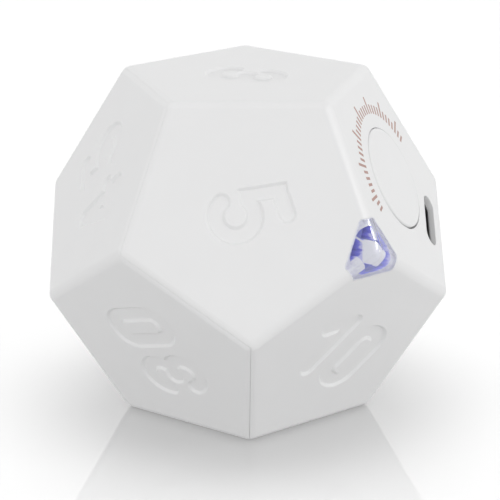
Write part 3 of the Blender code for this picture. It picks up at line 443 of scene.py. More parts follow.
def opening(name, outline_at, matrix):
    """A cutter for a hole with a rounded rim. outline_at gives the outline grown by a distance."""
    rings = [at_height(outline_at(0), CAVITY_RADIUS - CUT_OVERRUN)]
    for i in range(RIM_STEPS + 1):
        turn = math.pi / 2 * i / RIM_STEPS
        rise = HOLE_RIM * math.sin(turn) - HOLE_RIM + RIM_LIFT
        rings.append(at_height(outline_at(HOLE_RIM - HOLE_RIM * math.cos(turn)), IN_RADIUS + rise))
    rings.append(at_height(outline_at(HOLE_RIM), IN_RADIUS + CUT_OVERRUN))
    return loft(name, rings, matrix)


def dodecahedron(name, in_radius):
    body = bmesh.new()
    for ring in corner_rings(in_radius):
        for point in ring:
            body.verts.new(point)
    bmesh.ops.convex_hull(body, input=body.verts)
    bmesh.ops.dissolve_limit(body, angle_limit=FLAT_ANGLE, verts=body.verts, edges=body.edges)
    return mesh_of(name, body)


def sharp_block(name, in_radius, keep=None):
    """A dodecahedron in the casing's place, or only what it shares with another solid."""
    block = helper(name, dodecahedron(name, in_radius), Matrix.Translation(CENTRE))
    if keep:
        combine(block, "INTERSECT", keep)
    return block


def rounded_casing(name, inset=0):
    """The whole outer form with its edges and corners rounded, or one parallel to it inside."""
    block = sharp_block(name, IN_RADIUS - inset)
    bevel = block.modifiers.new("fillet", "BEVEL")
    bevel.offset_type = "OFFSET"
    bevel.width = (EDGE_FILLET - inset) / PHI
    bevel.segments = FILLET_STEPS
    bevel.limit_method = "NONE"
    return block


# Engraved digits: each glyph is a list of pen strokes about the middle of its own cell

def pen_outline(path, half, square):
    """Outline of an open pen stroke of one width, its ends round or square."""
    left, right = [], []
    for i, point in enumerate(path):
        along = (path[min(i + 1, len(path) - 1)] - path[max(i - 1, 0)]).normalized()
        across = Vector((-along.y, along.x)) * half
        left.append(point + across)
        right.append(point - across)
    if square:
        return left + right[::-1]
    caps = []
    for point, other in ((path[-1], path[-2]), (path[0], path[1])):
        along = (point - other).normalized()
        facing, turn = math.degrees(math.atan2(along.y, along.x)), 90 - ARC_STEP
        caps.append(arc(point.x, point.y, half, half, facing + turn, facing - turn))
    return left + caps[0] + right[::-1] + caps[1]


def grown_path(path, grow):
    """The path run on past both ends, which keeps a square stroke's ends in step with its sides."""
    first = (path[0] - path[1]).normalized() * grow
    last = (path[-1] - path[-2]).normalized() * grow
    return [path[0] + first] + path[1:-1] + [path[-1] + last]


def groove_steps():
    """Growth and height of a groove's sloping side, from its floor up past the face."""
    arcs = GROOVE_RIM + GROOVE_FLOOR
    turns = [GROOVE_SLOPE * i / GROOVE_STEPS for i in range(GROOVE_STEPS + 1)]
    straight = (DIGIT_DEPTH - arcs * (1 - math.cos(GROOVE_SLOPE))) / math.sin(GROOVE_SLOPE)
    reach = (arcs * math.sin(GROOVE_SLOPE) + straight * math.cos(GROOVE_SLOPE)) / 2
    floor = [
        (GROOVE_FLOOR * math.sin(a) - reach, GROOVE_FLOOR * (1 - math.cos(a)) - DIGIT_DEPTH)
        for a in turns
    ]
    rim = [
        (reach - GROOVE_RIM * math.sin(a), RIM_LIFT - GROOVE_RIM * (1 - math.cos(a)))
        for a in reversed(turns)
    ]
    return floor + rim + [(reach, CUT_OVERRUN)]


def open_groove(path, width, square, matrix):
    rings = []
    for grow, rise in groove_steps():
        run = grown_path(path, grow) if square else path
        rings.append(at_height(pen_outline(run, width / 2 + grow, square), IN_RADIUS + rise))
    return loft("groove", rings, matrix)


def ring_groove(outline_at, width, shift, matrix):
    """A groove that runs round to its start. outline_at gives the pen's path grown by a distance."""
    rings = []
    for side in (1, -1):
        for grow, rise in groove_steps()[::side]:
            outline = [point + shift for point in outline_at(side * (width / 2 + grow))]
            rings.append(at_height(outline, IN_RADIUS + rise))
    return loft("groove", rings, matrix, hollow=True)


HALF_HEIGHT = DIGIT_HEIGHT / 2
HALF_WIDTH = DIGIT_WIDTH / 2
PEN_TOP = HALF_HEIGHT - DIGIT_STROKE / 2
PEN_SIDE = HALF_WIDTH - DIGIT_STROKE / 2
LOBE = HALF_HEIGHT - HALF_WIDTH


def zero_outline(grow):
    length = DIGIT_WIDTH - ZERO_STROKE + 2 * grow
    height = DIGIT_HEIGHT - ZERO_STROKE + 2 * grow
    return rounded_rectangle(length, height, ZERO_CORNER - ZERO_STROKE / 2 + grow, ZERO_STEPS)


def six_outline(grow):
    return circle(PEN_SIDE + grow, SMALL_ROUND_STEPS, (0, -LOBE))


def five_strokes():
    centre_y = FIVE_BOWL_RADIUS - HALF_HEIGHT
    pen_radius = FIVE_BOWL_RADIUS - DIGIT_STROKE / 2
    bowl = arc(0, centre_y, pen_radius, pen_radius, *FIVE_BOWL)
    bar = [Vector((-FIVE_STEM_TOP, PEN_TOP)), Vector((PEN_SIDE - FIVE_STEM_LEAN / 2, PEN_TOP))]
    top = Vector((-FIVE_STEM_TOP, HALF_HEIGHT))
    foot = Vector((-FIVE_STEM_TOP - FIVE_STEM_LEAN, centre_y + pen_radius / 2))
    stem = [top, foot]
    return [(bowl, DIGIT_STROKE, False), (bar, DIGIT_STROKE, False), (stem, FIVE_STEM_WIDTH, True)]


def open_strokes(digit):
    """The open pen strokes of a digit: path, width and whether its ends are square."""
    if digit == "5":
        return five_strokes()
    if digit == "1":
        x = (ONE_WIDTH - DIGIT_STROKE) / 2
        paths = [[(x, -PEN_TOP), (x, PEN_TOP)], [(-x, PEN_TOP - ONE_FLAG_DROP), (x, PEN_TOP)]]
    elif digit == "2":
        hook = arc(0, LOBE, PEN_SIDE, PEN_SIDE, *TWO_HOOK)
        foot = (-PEN_SIDE, -PEN_TOP)
        paths = [hook, [hook[-1], foot], [foot, (PEN_SIDE, -PEN_TOP)]]
    elif digit == "3":
        paths = [arc(0, y, PEN_SIDE, PEN_SIDE, *lobe) for y, lobe in zip((LOBE, -LOBE), THREE_LOBES)]
    elif digit == "4":
        x, y = PEN_SIDE * FOUR_STEM_SHARE, -PEN_TOP * FOUR_BAR_SHARE
        top, left = (x, PEN_TOP), (-PEN_SIDE, y)
        paths = [[top, left], [left, (PEN_SIDE, y)], [top, (x, -PEN_TOP)]]
    elif digit == "6":
        sweep = PEN_SIDE * SIX_SWEEP_SHARE
        paths = [arc(sweep - PEN_SIDE, -LOBE, sweep, PEN_TOP + LOBE, *SIX_SWEEP)]
    else:
        paths = []
    return [([Vector(point) for point in path], DIGIT_STROKE, False) for path in paths]


def number_grooves(text, matrix):
    """The cutters of one number, centred on its face."""
    widths = [ONE_WIDTH if digit == "1" else DIGIT_WIDTH for digit in text]
    left = -(sum(widths) + DIGIT_SPACE * (len(text) - 1)) / 2
    cutters = []
    for digit, width in zip(text, widths):
        shift = Vector((left + width / 2, 0))
        left += width + DIGIT_SPACE
        for path, pen, square in open_strokes(digit):
            cutters.append(open_groove([point + shift for point in path], pen, square, matrix))
        if digit == "0":
            cutters.append(ring_groove(zero_outline, ZERO_STROKE, shift, matrix))
        if digit == "6":
            cutters.append(ring_groove(six_outline, DIGIT_STROKE, shift, matrix))
    return cutters


FACING_BUTTON = lower_face(3)
FRONT_NUMBERS = {
    "3": TOP, "5": upper_face(0), "10": lower_face(0), "15": lower_face(1), "1": upper_face(2),
}
REAR_NUMBERS = {
    "20": upper_face(3), "45": upper_face(4), "30": lower_face(4), "25": BASE, "60": lower_face(2),
}


def engravings(name, numbers, up_corners):
    cutters = []
    for text, corners in numbers.items():
        cutters += number_grooves(text, face_frame(corners, up_corners))
    return group_of(name, cutters)


# Casing halves

def half_cutter(name, side, shift):
    """The cone from the centre over the six faces on one side of the button axis."""
    body = bmesh.new()
    body.from_mesh(dodecahedron(name, IN_RADIUS * CUTTER_SHARE))
    others = [face for face in body.faces if face.normal.dot(BUTTON_AXIS) * side < 0]
    bmesh.ops.delete(body, geom=others, context="FACES")
    rim = [edge for edge in body.edges if edge.is_boundary]
    made = bmesh.ops.extrude_edge_only(body, edges=rim)["geom"]
    inner = [item for item in made if isinstance(item, bmesh.types.BMVert)]
    bmesh.ops.pointmerge(body, verts=inner, merge_co=(0, 0, 0))
    place = Matrix.Translation(CENTRE + BUTTON_AXIS * shift)
    return helper(name, mesh_of(name, body), place)


def seam_shift(gap):
    """How far to slide a half along the button axis to open the seam by a gap."""
    seam_normal = TOP[4].cross(UPPER[4]).normalized()
    return gap / abs(seam_normal.dot(BUTTON_AXIS))


def lens_outline(grow):
    """A triangle with its three corners cut straight across."""
    cut = LENS_CUT_CORNER + grow
    half = (2 * (LENS_INRADIUS + grow) - cut) * math.tan(LENS_HALF_ANGLE)
    corners = []
    for turn in LENS_TURNS:
        out = ring_point(1, turn)
        across = Vector((-out.y, out.x))
        corners += [out * cut - across * half, out * cut + across * half]
    return rounded_polygon(corners, LENS_CORNER + grow, LENS_STEPS)


def button_hole_outline(grow):
    return circle(BUTTON_HOLE_DIAMETER / 2 + grow)


def slot_outline(grow):
    width, length = PORT_SLOT_WIDTH + 2 * grow, PORT_SLOT_LENGTH + 2 * grow
    return rounded_rectangle(width, length, width * PORT_END_SHARE)


def plain_plate(name, outline, bottom, top, matrix):
    return loft(name, [at_height(outline, bottom), at_height(outline, top)], matrix)


def lens_plug(name, grow, top=LENS_TOP):
    """The lens outline, grown, from the back of the lens up."""
    return plain_plate(name, lens_outline(grow), LENS_BACK, top, LENS_FRAME)


def boss_places():
    reach = (FACE_APOTHEM * CAVITY_RADIUS / IN_RADIUS - BOSS_INSET) / math.cos(math.radians(FIFTH / 2))
    return [ring_point(reach, angle) for angle in BOSS_ANGLES]


def front_half(cavity):
    shell = rounded_casing("front_half_casing")
    combine(shell, "INTERSECT", half_cutter("front_cone", 1, seam_shift(SEAM_GAP / 2)))
    combine(shell, "DIFFERENCE", cavity)
    recess_half = half_cutter("recess_cone", -1, seam_shift(LIP_HEIGHT + LIP_GAP))
    recess = sharp_block("lip_recess", IN_RADIUS - WALL / 2 + LIP_GAP / 2, recess_half)
    combine(shell, "DIFFERENCE", recess)
    boss_bottom = IN_RADIUS - PCB_DEPTH + SEAT_GAP
    guide_inner = BUTTON_HOLE_DIAMETER / 2 + BUTTON_FLANGE_OVERLAP + BUTTON_CLEARANCE
    low, high = CAVITY_RADIUS - GUIDE_DEPTH, CAVITY_RADIUS + WALL / 2
    outer, inner = circle(guide_inner + GUIDE_WALL), circle(guide_inner)
    added = [tube("collar", outer, inner, low, high, BUTTON_FRAME)]
    cut = []
    for place in boss_places():
        post = circle(BOSS_DIAMETER / 2, BOSS_STEPS, place)
        hole = circle(BOSS_HOLE_DIAMETER / 2, BOSS_HOLE_STEPS, place)
        added.append(plain_plate("boss", post, boss_bottom, high, BUTTON_FRAME))
        cut.append(plain_plate("boss_hole", hole, boss_bottom - CUT_OVERRUN,
                               boss_bottom + BOSS_HOLE_DEPTH, BUTTON_FRAME))
    combine(shell, "UNION", group_of("added", added))
    cut.append(opening("button_hole", button_hole_outline, BUTTON_FRAME))
    cut.append(opening("port_slot", slot_outline, PORT_FRAME))
    cut.append(lens_plug("lens_hole", LENS_GAP))
    combine(shell, "DIFFERENCE", group_of("front_holes", cut))
    combine(shell, "DIFFERENCE", engravings("front_numbers", FRONT_NUMBERS, BUTTON_FACE))
    return finished("casing_front", shell)


def rear_half(cavity):
    """The other half, turned slightly against the front one, so that the seam is wider on one side."""
    shell = rounded_casing("rear_half_casing")
    cone = half_cutter("rear_cone", -1, -seam_shift(SEAM_GAP / 2))
    cone.matrix_world = cone.matrix_world @ Matrix.Rotation(SEAM_TURN, 4, "Y")
    combine(shell, "INTERSECT", cone)
    lip_half = half_cutter("lip_cone", -1, seam_shift(LIP_HEIGHT))
    combine(shell, "UNION", sharp_block("lip", IN_RADIUS - WALL / 2 - LIP_GAP / 2, lip_half))
    combine(shell, "DIFFERENCE", cavity)
    combine(shell, "DIFFERENCE", engravings("rear_numbers", REAR_NUMBERS, FACING_BUTTON))
    return finished("casing_rear", shell)


# Clear corner

def clear_corner():
    """The clear skin that carries the casing's form across the corner."""
    skin = rounded_casing("lens_block")
    combine(skin, "INTERSECT", lens_plug("lens_plug", -LENS_RIM - LENS_AIR))
    combine(skin, "DIFFERENCE", rounded_casing("lens_inside", LENS_SKIN))
    return finished("clear_corner", skin)


def light_guide():
    """The guide under the clear skin: a five-cornered post held in a well, with a flange behind."""
    guide = rounded_casing("guide_block")
    combine(guide, "INTERSECT", lens_plug("guide_plug", 0))
    slab = lens_plug("lens_slab", LENS_FLANGE, CORNER_RADIUS - LENS_FLANGE_DROP)
    combine(guide, "UNION", sharp_block("lens_flange", CAVITY_RADIUS - SEAT_GAP, slab))
    window = lens_plug("window", -LENS_RIM)
    combine(window, "DIFFERENCE", rounded_casing("guide_top", GUIDE_DROP))
    combine(guide, "DIFFERENCE", window)
    reach = WELL_INRADIUS * 2
    corners = [ring_point(reach, turn) for turn in LENS_TURNS]
    well = plain_plate("well", rounded_polygon(corners, WELL_CORNER), WELL_BOTTOM, LENS_TOP, LENS_FRAME)
    low, high = WELL_BOTTOM - WALL, LENS_TOP + WALL
    post = rounded_polygon([Vector(corner) for corner in GUIDE_CORNERS], GUIDE_CORNER)
    foot = [point * GUIDE_TAPER for point in post]
    kept = [loft("post", [at_height(foot, low), at_height(post, high)], LENS_FRAME)]
    for turn, start, half in GUIDE_WEBS:
        out = ring_point(1, turn)
        across = Vector((-out.y, out.x)) * half
        near, far = out * start, out * reach
        web = [near - across, far - across, far + across, near + across]
        kept.append(plain_plate("web", web, low, high, LENS_FRAME))
    for part in kept:
        combine(well, "DIFFERENCE", part)
    combine(guide, "DIFFERENCE", well)
    pocket = circle(LENS_POCKET_DIAMETER / 2, SMALL_ROUND_STEPS)
    combine(guide, "DIFFERENCE", plain_plate("lens_pocket", pocket, LENS_BACK - CUT_OVERRUN,
                                             LENS_BACK + LENS_POCKET_DEPTH, LENS_FRAME))
    return finished("light_guide", guide)


def guide_faces(piece):
    """Material index of each face: 0 on the ends, 1 on the post, 2 on the well's wall and floor."""
    to_lens = LENS_FRAME.inverted()
    for face in piece.data.polygons:
        place = to_lens @ face.center
        facing = to_lens.to_3x3() @ face.normal
        inside = place.z > WELL_BOTTOM - WELD_DISTANCE and place.xy.length < WELL_REACH
        inside = inside and lens_depth(place) < WELL_INRADIUS + WELD_DISTANCE
        steep = facing.z < GUIDE_LEVEL
        if inside and (steep or place.z < WELL_BOTTOM + WELD_DISTANCE):
            face.material_index = 1 if steep and facing.xy.dot(place.xy) > 0 else 2


def lens_depth(place):
    """Distance of a point from the lens axis, across the nearest side of its triangle."""
    return max(ring_point(1, angle).dot(place.xy) for angle in LENS_SIDES)


# Button

def push_button():
    top = IN_RADIUS + BUTTON_STAND
    radius = BUTTON_HOLE_DIAMETER / 2 - BUTTON_GAP
    rounding = BUTTON_EDGE_ROUND
    edge = arc(radius - rounding, top - rounding, rounding, rounding, 90, 0, BUTTON_EDGE_STEP)
    flange_top = CAVITY_RADIUS - SEAT_GAP
    flange_bottom = flange_top - BUTTON_FLANGE_THICKNESS
    flange = BUTTON_HOLE_DIAMETER / 2 + BUTTON_FLANGE_OVERLAP
    hollow, ceiling = radius - BUTTON_WALL, top - BUTTON_WALL
    stem = BUTTON_STEM_DIAMETER / 2
    stem_end = IN_RADIUS - PCB_DEPTH + SOLDER_GAP + SWITCH_HEIGHT + PLUNGER_REACH + SEAT_GAP
    profile = [(point.x, point.y) for point in edge] + [
        (radius, flange_top), (flange, flange_top), (flange, flange_bottom), (hollow, flange_bottom),
        (hollow, ceiling), (stem, ceiling), (stem, stem_end),
    ]
    rings = [at_height(circle(reach), height) for reach, height in profile]
    place = BUTTON_FRAME @ Matrix.Translation((*BUTTON_REST, 0))
    return finished("push_button", loft("button", rings, place))


# Charging socket

def socket_can():
    rounding = USB_WIDTH / 2 - USB_SHEET / 2
    outer = rounded_rectangle(USB_WIDTH, USB_LENGTH, rounding, USB_STEPS)
    width, length = USB_WIDTH - 2 * USB_SHEET, USB_LENGTH - 2 * USB_SHEET
    inner = rounded_rectangle(width, length, rounding - USB_SHEET, USB_STEPS)
    foot, mouth = IN_RADIUS - PCB_DEPTH + SOLDER_GAP, IN_RADIUS - USB_MOUTH_DEPTH
    can = tube("can", outer, inner, foot, mouth, PORT_FRAME)
    soften = can.modifiers.new("edges", "BEVEL")
    soften.width = USB_EDGE
    soften.segments = USB_EDGE_STEPS
    return finished("socket_can", can)


# Node trees

def feed(tree, socket, value):
    """Gives an input a plain value, or links it to the output of another node."""
    if isinstance(value, bpy.types.NodeSocket):
        tree.links.new(value, socket)
    else:
        socket.default_value = value


def add_node(tree, kind, *values, **named):
    """A new node. values go to its inputs in order. A name with a capital is that of an input, with _
    for a space, and any other name is that of a setting."""
    node = tree.nodes.new(kind)
    for name, value in named.items():
        if name[0].islower():
            setattr(node, name, value)
    for socket, value in zip(node.inputs, values):
        feed(tree, socket, value)
    for name, value in named.items():
        if name[0].isupper():
            feed(tree, node.inputs[name.replace("_", " ")], value)
    return node


def maths(tree, operation, *values):
    return add_node(tree, "ShaderNodeMath", *values, operation=operation).outputs[0]


def vector_maths(tree, operation, *values, **named):
    return add_node(tree, "ShaderNodeVectorMath", *values, operation=operation, **named).outputs[0]


def vector_of(tree, *values):
    return add_node(tree, "ShaderNodeCombineXYZ", *values).outputs[0]


# Kind of socket that holds a default of each type. None stands for a material
SOCKET_KINDS = {type(None): "Material", int: "Int", float: "Float"}


def new_tree(name, tree_type, inputs, **outputs):
    """A tree with its inputs by name and default, and its outputs by name and type. Returns the tree
    and the sockets that its inner nodes read and write."""
    tree = bpy.data.node_groups.new(name, tree_type)
    for label, default in inputs.items():
        kind = SOCKET_KINDS.get(type(default)) or ("Color" if len(default) == 4 else "Vector")
        socket = tree.interface.new_socket(label, in_out="INPUT", socket_type="NodeSocket" + kind)
        if default is not None:
            socket.default_value = default
    for label, type_name in outputs.items():
        tree.interface.new_socket(label, in_out="OUTPUT", socket_type="NodeSocket" + type_name)
    return tree, tree.nodes.new("NodeGroupInput").outputs, tree.nodes.new("NodeGroupOutput").inputs


# Printed scale and contacts: bars that repeat

def bars(tree, count, place, size, rotation=(0, 0, 0)):
    """As many bars as count, each at its place, turned and of its size."""
    line = add_node(tree, "GeometryNodeMeshLine", Count=count)
    points = add_node(tree, "GeometryNodeSetPosition", Geometry=line.outputs[0], Position=place)
    bar = add_node(tree, "GeometryNodeMeshCube")
    return add_node(tree, "GeometryNodeInstanceOnPoints", Points=points.outputs[0],
                    Instance=bar.outputs[0], Rotation=rotation, Scale=size).outputs[0]


def finish_tree(tree, shape, material, result):
    """Ends a tree: real geometry with its material."""
    real = add_node(tree, "GeometryNodeRealizeInstances", shape)
    dressed = add_node(tree, "GeometryNodeSetMaterial", Geometry=real.outputs[0], Material=material)
    tree.links.new(dressed.outputs[0], result)
    return tree


def marks_tree():
    """The printed scale: short and long marks round an arc, standing outward from its radius."""
    tree, given, put = new_tree("marks_round_an_arc", "GeometryNodeTree", {
        "Radius": 0.0120, "Start": math.radians(188), "Sweep": math.radians(-170), "Marks": 35,
        "First Long": 2, "Long Every": 5, "Long": 0.0031, "Short": 0.0017, "Width": 0.00050,
        "Height": IN_RADIUS, "Ink": 0.00002, "Finish": None,
    }, Geometry="Geometry")
    index = add_node(tree, "GeometryNodeInputIndex").outputs[0]
    share = maths(tree, "DIVIDE", index, maths(tree, "SUBTRACT", given["Marks"], 1))
    angle = maths(tree, "MULTIPLY_ADD", share, given["Sweep"], given["Start"])
    after = maths(tree, "SUBTRACT", index, given["First Long"])
    is_long = maths(tree, "COMPARE", maths(tree, "MODULO", after, given["Long Every"]), 0, 0.5)
    extra = maths(tree, "SUBTRACT", given["Long"], given["Short"])
    length = maths(tree, "MULTIPLY_ADD", is_long, extra, given["Short"])
    reach = maths(tree, "MULTIPLY_ADD", length, 0.5, given["Radius"])
    place = vector_of(
        tree,
        maths(tree, "MULTIPLY", maths(tree, "COSINE", angle), reach),
        maths(tree, "MULTIPLY", maths(tree, "SINE", angle), reach),
        given["Height"],
    )
    size = vector_of(tree, length, given["Width"], given["Ink"])
    marks = bars(tree, given["Marks"], place, size, vector_of(tree, 0, 0, angle))
    return finish_tree(tree, marks, given["Finish"], put["Geometry"])


def contacts_tree():
    """Flat bars in a row across the tongue, and the same row again on its other side."""
    tree, given, put = new_tree("bars_on_both_sides", "GeometryNodeTree", {
        "Bars": 12, "Pitch": 0.00042, "Width": 0.00022, "Length": 0.0016, "Metal": 0.00004,
        "Reach": TONGUE_THICKNESS / 2,
        "Top": IN_RADIUS - USB_MOUTH_DEPTH - TONGUE_SETBACK - CONTACT_TIP, "Finish": None,
    }, Geometry="Geometry")
    middle = maths(tree, "MULTIPLY", maths(tree, "SUBTRACT", given["Bars"], 1), 0.5)
    step = maths(tree, "SUBTRACT", add_node(tree, "GeometryNodeInputIndex").outputs[0], middle)
    place = vector_of(
        tree,
        maths(tree, "MULTIPLY_ADD", given["Metal"], 0.5, given["Reach"]),
        maths(tree, "MULTIPLY", step, given["Pitch"]),
        maths(tree, "MULTIPLY_ADD", given["Length"], -0.5, given["Top"]),
    )
    size = vector_of(tree, given["Metal"], given["Width"], given["Length"])
    row = bars(tree, given["Bars"], place, size)
    other = add_node(tree, "GeometryNodeTransform", Geometry=row, Rotation=(0, 0, math.pi))
    both = add_node(tree, "GeometryNodeJoinGeometry")
    for side in (row, other.outputs[0]):
        tree.links.new(side, both.inputs[0])
    return finish_tree(tree, both.outputs[0], given["Finish"], put["Geometry"])


def grown_piece(name, tree, material, matrix):
    """Runs a tree with its named Finish and keeps the result as a plain piece."""
    carrier = helper(name + "_carrier", bpy.data.meshes.new(name), matrix)
    modifier = carrier.modifiers.new(tree.name, "NODES")
    modifier.node_group = tree
    modifier[tree.interface.items_tree["Finish"].identifier] = material
    mesh = evaluated_mesh(carrier)
    mesh.name = name
    bpy.data.objects.remove(carrier, do_unlink=True)
    return in_scene(name, mesh)


# Finishes

def object_place(tree):
    return add_node(tree, "ShaderNodeTexCoord").outputs["Object"]


def place_in(tree, matrix):
    """Object coordinates as seen in one of the frames on the casing."""
    return add_node(tree, "ShaderNodeMapping", vector_type="TEXTURE", Vector=object_place(tree),
                    Location=matrix.translation, Rotation=matrix.to_euler()).outputs["Vector"]


def noise(tree, place, scale, detail=2):
    return add_node(tree, "ShaderNodeTexNoise", Vector=place, Scale=scale, Detail=detail).outputs


def mixed_colour(tree, share, colour, other):
    """A colour that turns into the other one as share goes from 0 to 1."""
    mix = add_node(tree, "ShaderNodeMix", data_type="RGBA")
    for index, value in zip(MIX_COLOUR_INPUTS, (share, colour, other)):
        feed(tree, mix.inputs[index], value)
    return mix.outputs[MIX_COLOUR_OUTPUT]


def grain_group():
    """Fine grain for moulded, cast and printed surfaces: a mottled colour, roughness and normal."""
    tree, given, put = new_tree("fine_grain", "ShaderNodeTree", {
        "Colour": PALE, "Mottle": 0.02, "Roughness": 0.4, "Roughness Spread": 0.06,
        "Grain Scale": 9000.0, "Relief": 0.00001, "Stretch": (1, 1, 1),
    }, Colour="Color", Roughness="Float", Normal="Vector")
    place = vector_maths(tree, "MULTIPLY", object_place(tree), given["Stretch"])
    broad = noise(tree, place, BROAD_MOTTLE, detail=4)["Fac"]
    fine = noise(tree, place, given["Grain Scale"], detail=3)["Fac"]
    darkest = maths(tree, "SUBTRACT", 1, given["Mottle"])
    shade = add_node(tree, "ShaderNodeMapRange", broad, *NOISE_LEVELS, darkest).outputs["Result"]
    feed(tree, put["Colour"], vector_maths(tree, "SCALE", given["Colour"], Scale=shade))
    spread = maths(tree, "MULTIPLY", maths(tree, "SUBTRACT", broad, 0.5), given["Roughness Spread"])
    feed(tree, put["Roughness"], maths(tree, "ADD", spread, given["Roughness"]))
    bump = add_node(tree, "ShaderNodeBump", Height=fine, Distance=given["Relief"])
    feed(tree, put["Normal"], bump.outputs["Normal"])
    return tree


def lines_group():
    """Lines between cells, as foil creases, rolling marks or the walls of foam, over a ground."""
    tree, given, put = new_tree("cell_lines", "ShaderNodeTree", {
        "Ground": PALE, "Lines": PALE, "Cell Size": 0.001, "Line Width": 0.08, "Wander": 0.0,
    }, Colour="Color")
    place = object_place(tree)
    stray = noise(tree, place, STRAY_SCALE)["Color"]
    pushed = vector_maths(tree, "SCALE", stray, Scale=given["Wander"])
    cells = add_node(tree, "ShaderNodeTexVoronoi", feature="DISTANCE_TO_EDGE", Randomness=0.85,
                     Vector=vector_maths(tree, "ADD", place, pushed),
                     Scale=maths(tree, "DIVIDE", 1, given["Cell Size"]))
    line = add_node(tree, "ShaderNodeMapRange", interpolation_type="SMOOTHSTEP",
                    Value=cells.outputs["Distance"], From_Max=given["Line Width"]).outputs["Result"]
    feed(tree, put["Colour"], mixed_colour(tree, line, given["Lines"], given["Ground"]))
    return tree


def traces_group():
    """Copper runs under a board's mask: straight lines and corners in patches, in the board's plane."""
    tree, given, put = new_tree("board_traces", "ShaderNodeTree", {
        "Mask": PALE, "Copper": PALE, "Pitch": 0.0006,
    }, Colour="Color")
    board = place_in(tree, BUTTON_FRAME)
    patches = noise(tree, board, PATCH_SCALE)["Fac"]
    runs = []
    for turn, length in TRACE_RUNS:
        laid = add_node(tree, "ShaderNodeMapping", Vector=board, Rotation=(0, 0, turn)).outputs["Vector"]
        rows = add_node(tree, "ShaderNodeTexBrick", offset=0.37, Vector=laid, Color1=BLACK, Color2=BLACK,
                        Mortar=WHITE, Scale=maths(tree, "DIVIDE", 1, given["Pitch"]), Mortar_Size=0.16,
                        Mortar_Smooth=0.1, Brick_Width=length, Row_Height=1)
        runs.append(rows.outputs["Color"])
    chosen = mixed_colour(tree, maths(tree, "GREATER_THAN", patches, 0.5), *runs)
    feed(tree, put["Colour"], mixed_colour(tree, chosen, given["Mask"], given["Copper"]))
    return tree


def streaks_group():
    """Height along the lens axis, made uneven by streaks that run the same way. It places the painted glow
    and painted shade of the guide.
    """
    tree, given, put = new_tree("streaked_height", "ShaderNodeTree", {
        "Wander": 0.0036, "Streak Scale": 1800.0, "Stretch": (1, 1, 0.12),
    }, Height="Float")
    lens = place_in(tree, LENS_FRAME)
    along = add_node(tree, "ShaderNodeSeparateXYZ", lens).outputs["Z"]
    drawn = vector_maths(tree, "MULTIPLY", lens, given["Stretch"])
    uneven = maths(tree, "SUBTRACT", noise(tree, drawn, given["Streak Scale"])["Fac"], 0.5)
    feed(tree, put["Height"], maths(tree, "MULTIPLY_ADD", uneven, given["Wander"], along))
    return tree


GRAIN = grain_group()
LINES = lines_group()
TRACES = traces_group()
STREAKS = streaks_group()


def placed_group(tree, group, **values):
    return add_node(tree, "ShaderNodeGroup", node_tree=group, **values).outputs


def new_material(name):
    """A material with its tree and the inputs of its shader."""
    material = bpy.data.materials.new(name)
    material.use_nodes = True
    return material, material.node_tree, material.node_tree.nodes["Principled BSDF"].inputs


def numbered(name, count):
    return [f"{name}_{i + 1}" for i in range(count)]


def finish(name, colour, roughness, *nodes, mottle=0.02, spread=0.06, scale=9000, relief=0.00001,
           stretch=(1, 1, 1), lines=None, copper=None, **plain):
    """A material on the shared grain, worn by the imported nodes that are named. lines gives the colour,
    cell size, width and wander of lines over it, copper the colour of board traces, and plain sets
    further sockets of the shader."""
    material, tree, shader = new_material(name)
    ground = (*colour, 1)
    if lines:
        tone, size, width, wander = lines
        ground = placed_group(tree, LINES, Ground=ground, Lines=(*tone, 1), Cell_Size=size,
                              Line_Width=width, Wander=wander)["Colour"]
    if copper:
        ground = placed_group(tree, TRACES, Mask=ground, Copper=(*copper, 1))["Colour"]
    grain = placed_group(tree, GRAIN, Colour=ground, Mottle=mottle, Roughness=roughness,
                         Roughness_Spread=spread, Grain_Scale=scale, Relief=relief, Stretch=stretch)
    feed(tree, shader["Base Color"], grain["Colour"])
    feed(tree, shader["Roughness"], grain["Roughness"])
    feed(tree, shader["Normal"], grain["Normal"])
    for socket, value in plain.items():
        shader[socket.replace("_", " ")].default_value = value
    material.diffuse_color = (*colour, 1)
    for node in nodes:
        for place in frame["nodes"][node].material_slots:
            place.material = material
    return material


def painted_glow(name, *stops, roughness=0.35, strength=0.35):
    """Milky plastic with a painted glow that stands in for light from the lamp behind it, and painted
    shade: the colour, also given as emission, is darker lower along the lens axis. stops pair heights in
    the lens frame with colours.
    """
    material, tree, shader = new_material(name)
    low, high = stops[0][0], stops[-1][0]
    height = placed_group(tree, STREAKS)["Height"]
    # Painted shade: the colour darkens lower along the lens axis
    height = add_node(tree, "ShaderNodeMapRange", Value=height, From_Min=low, From_Max=high)
    ramp = add_node(tree, "ShaderNodeValToRGB", Fac=height.outputs["Result"])
    marks = ramp.color_ramp.elements
    for index, (level, colour) in enumerate(stops):
        share = (level - low) / (high - low)
        if index < len(marks):
            marks[index].position = share
        else:
            marks.new(share)
        marks[index].color = (*colour, 1)
    feed(tree, shader["Base Color"], ramp.outputs["Color"])
    # Painted glow: the same colour is also given as emission
    feed(tree, shader["Emission Color"], ramp.outputs["Color"])
    shader["Emission Strength"].default_value = strength
    shader["Roughness"].default_value = roughness
    return material


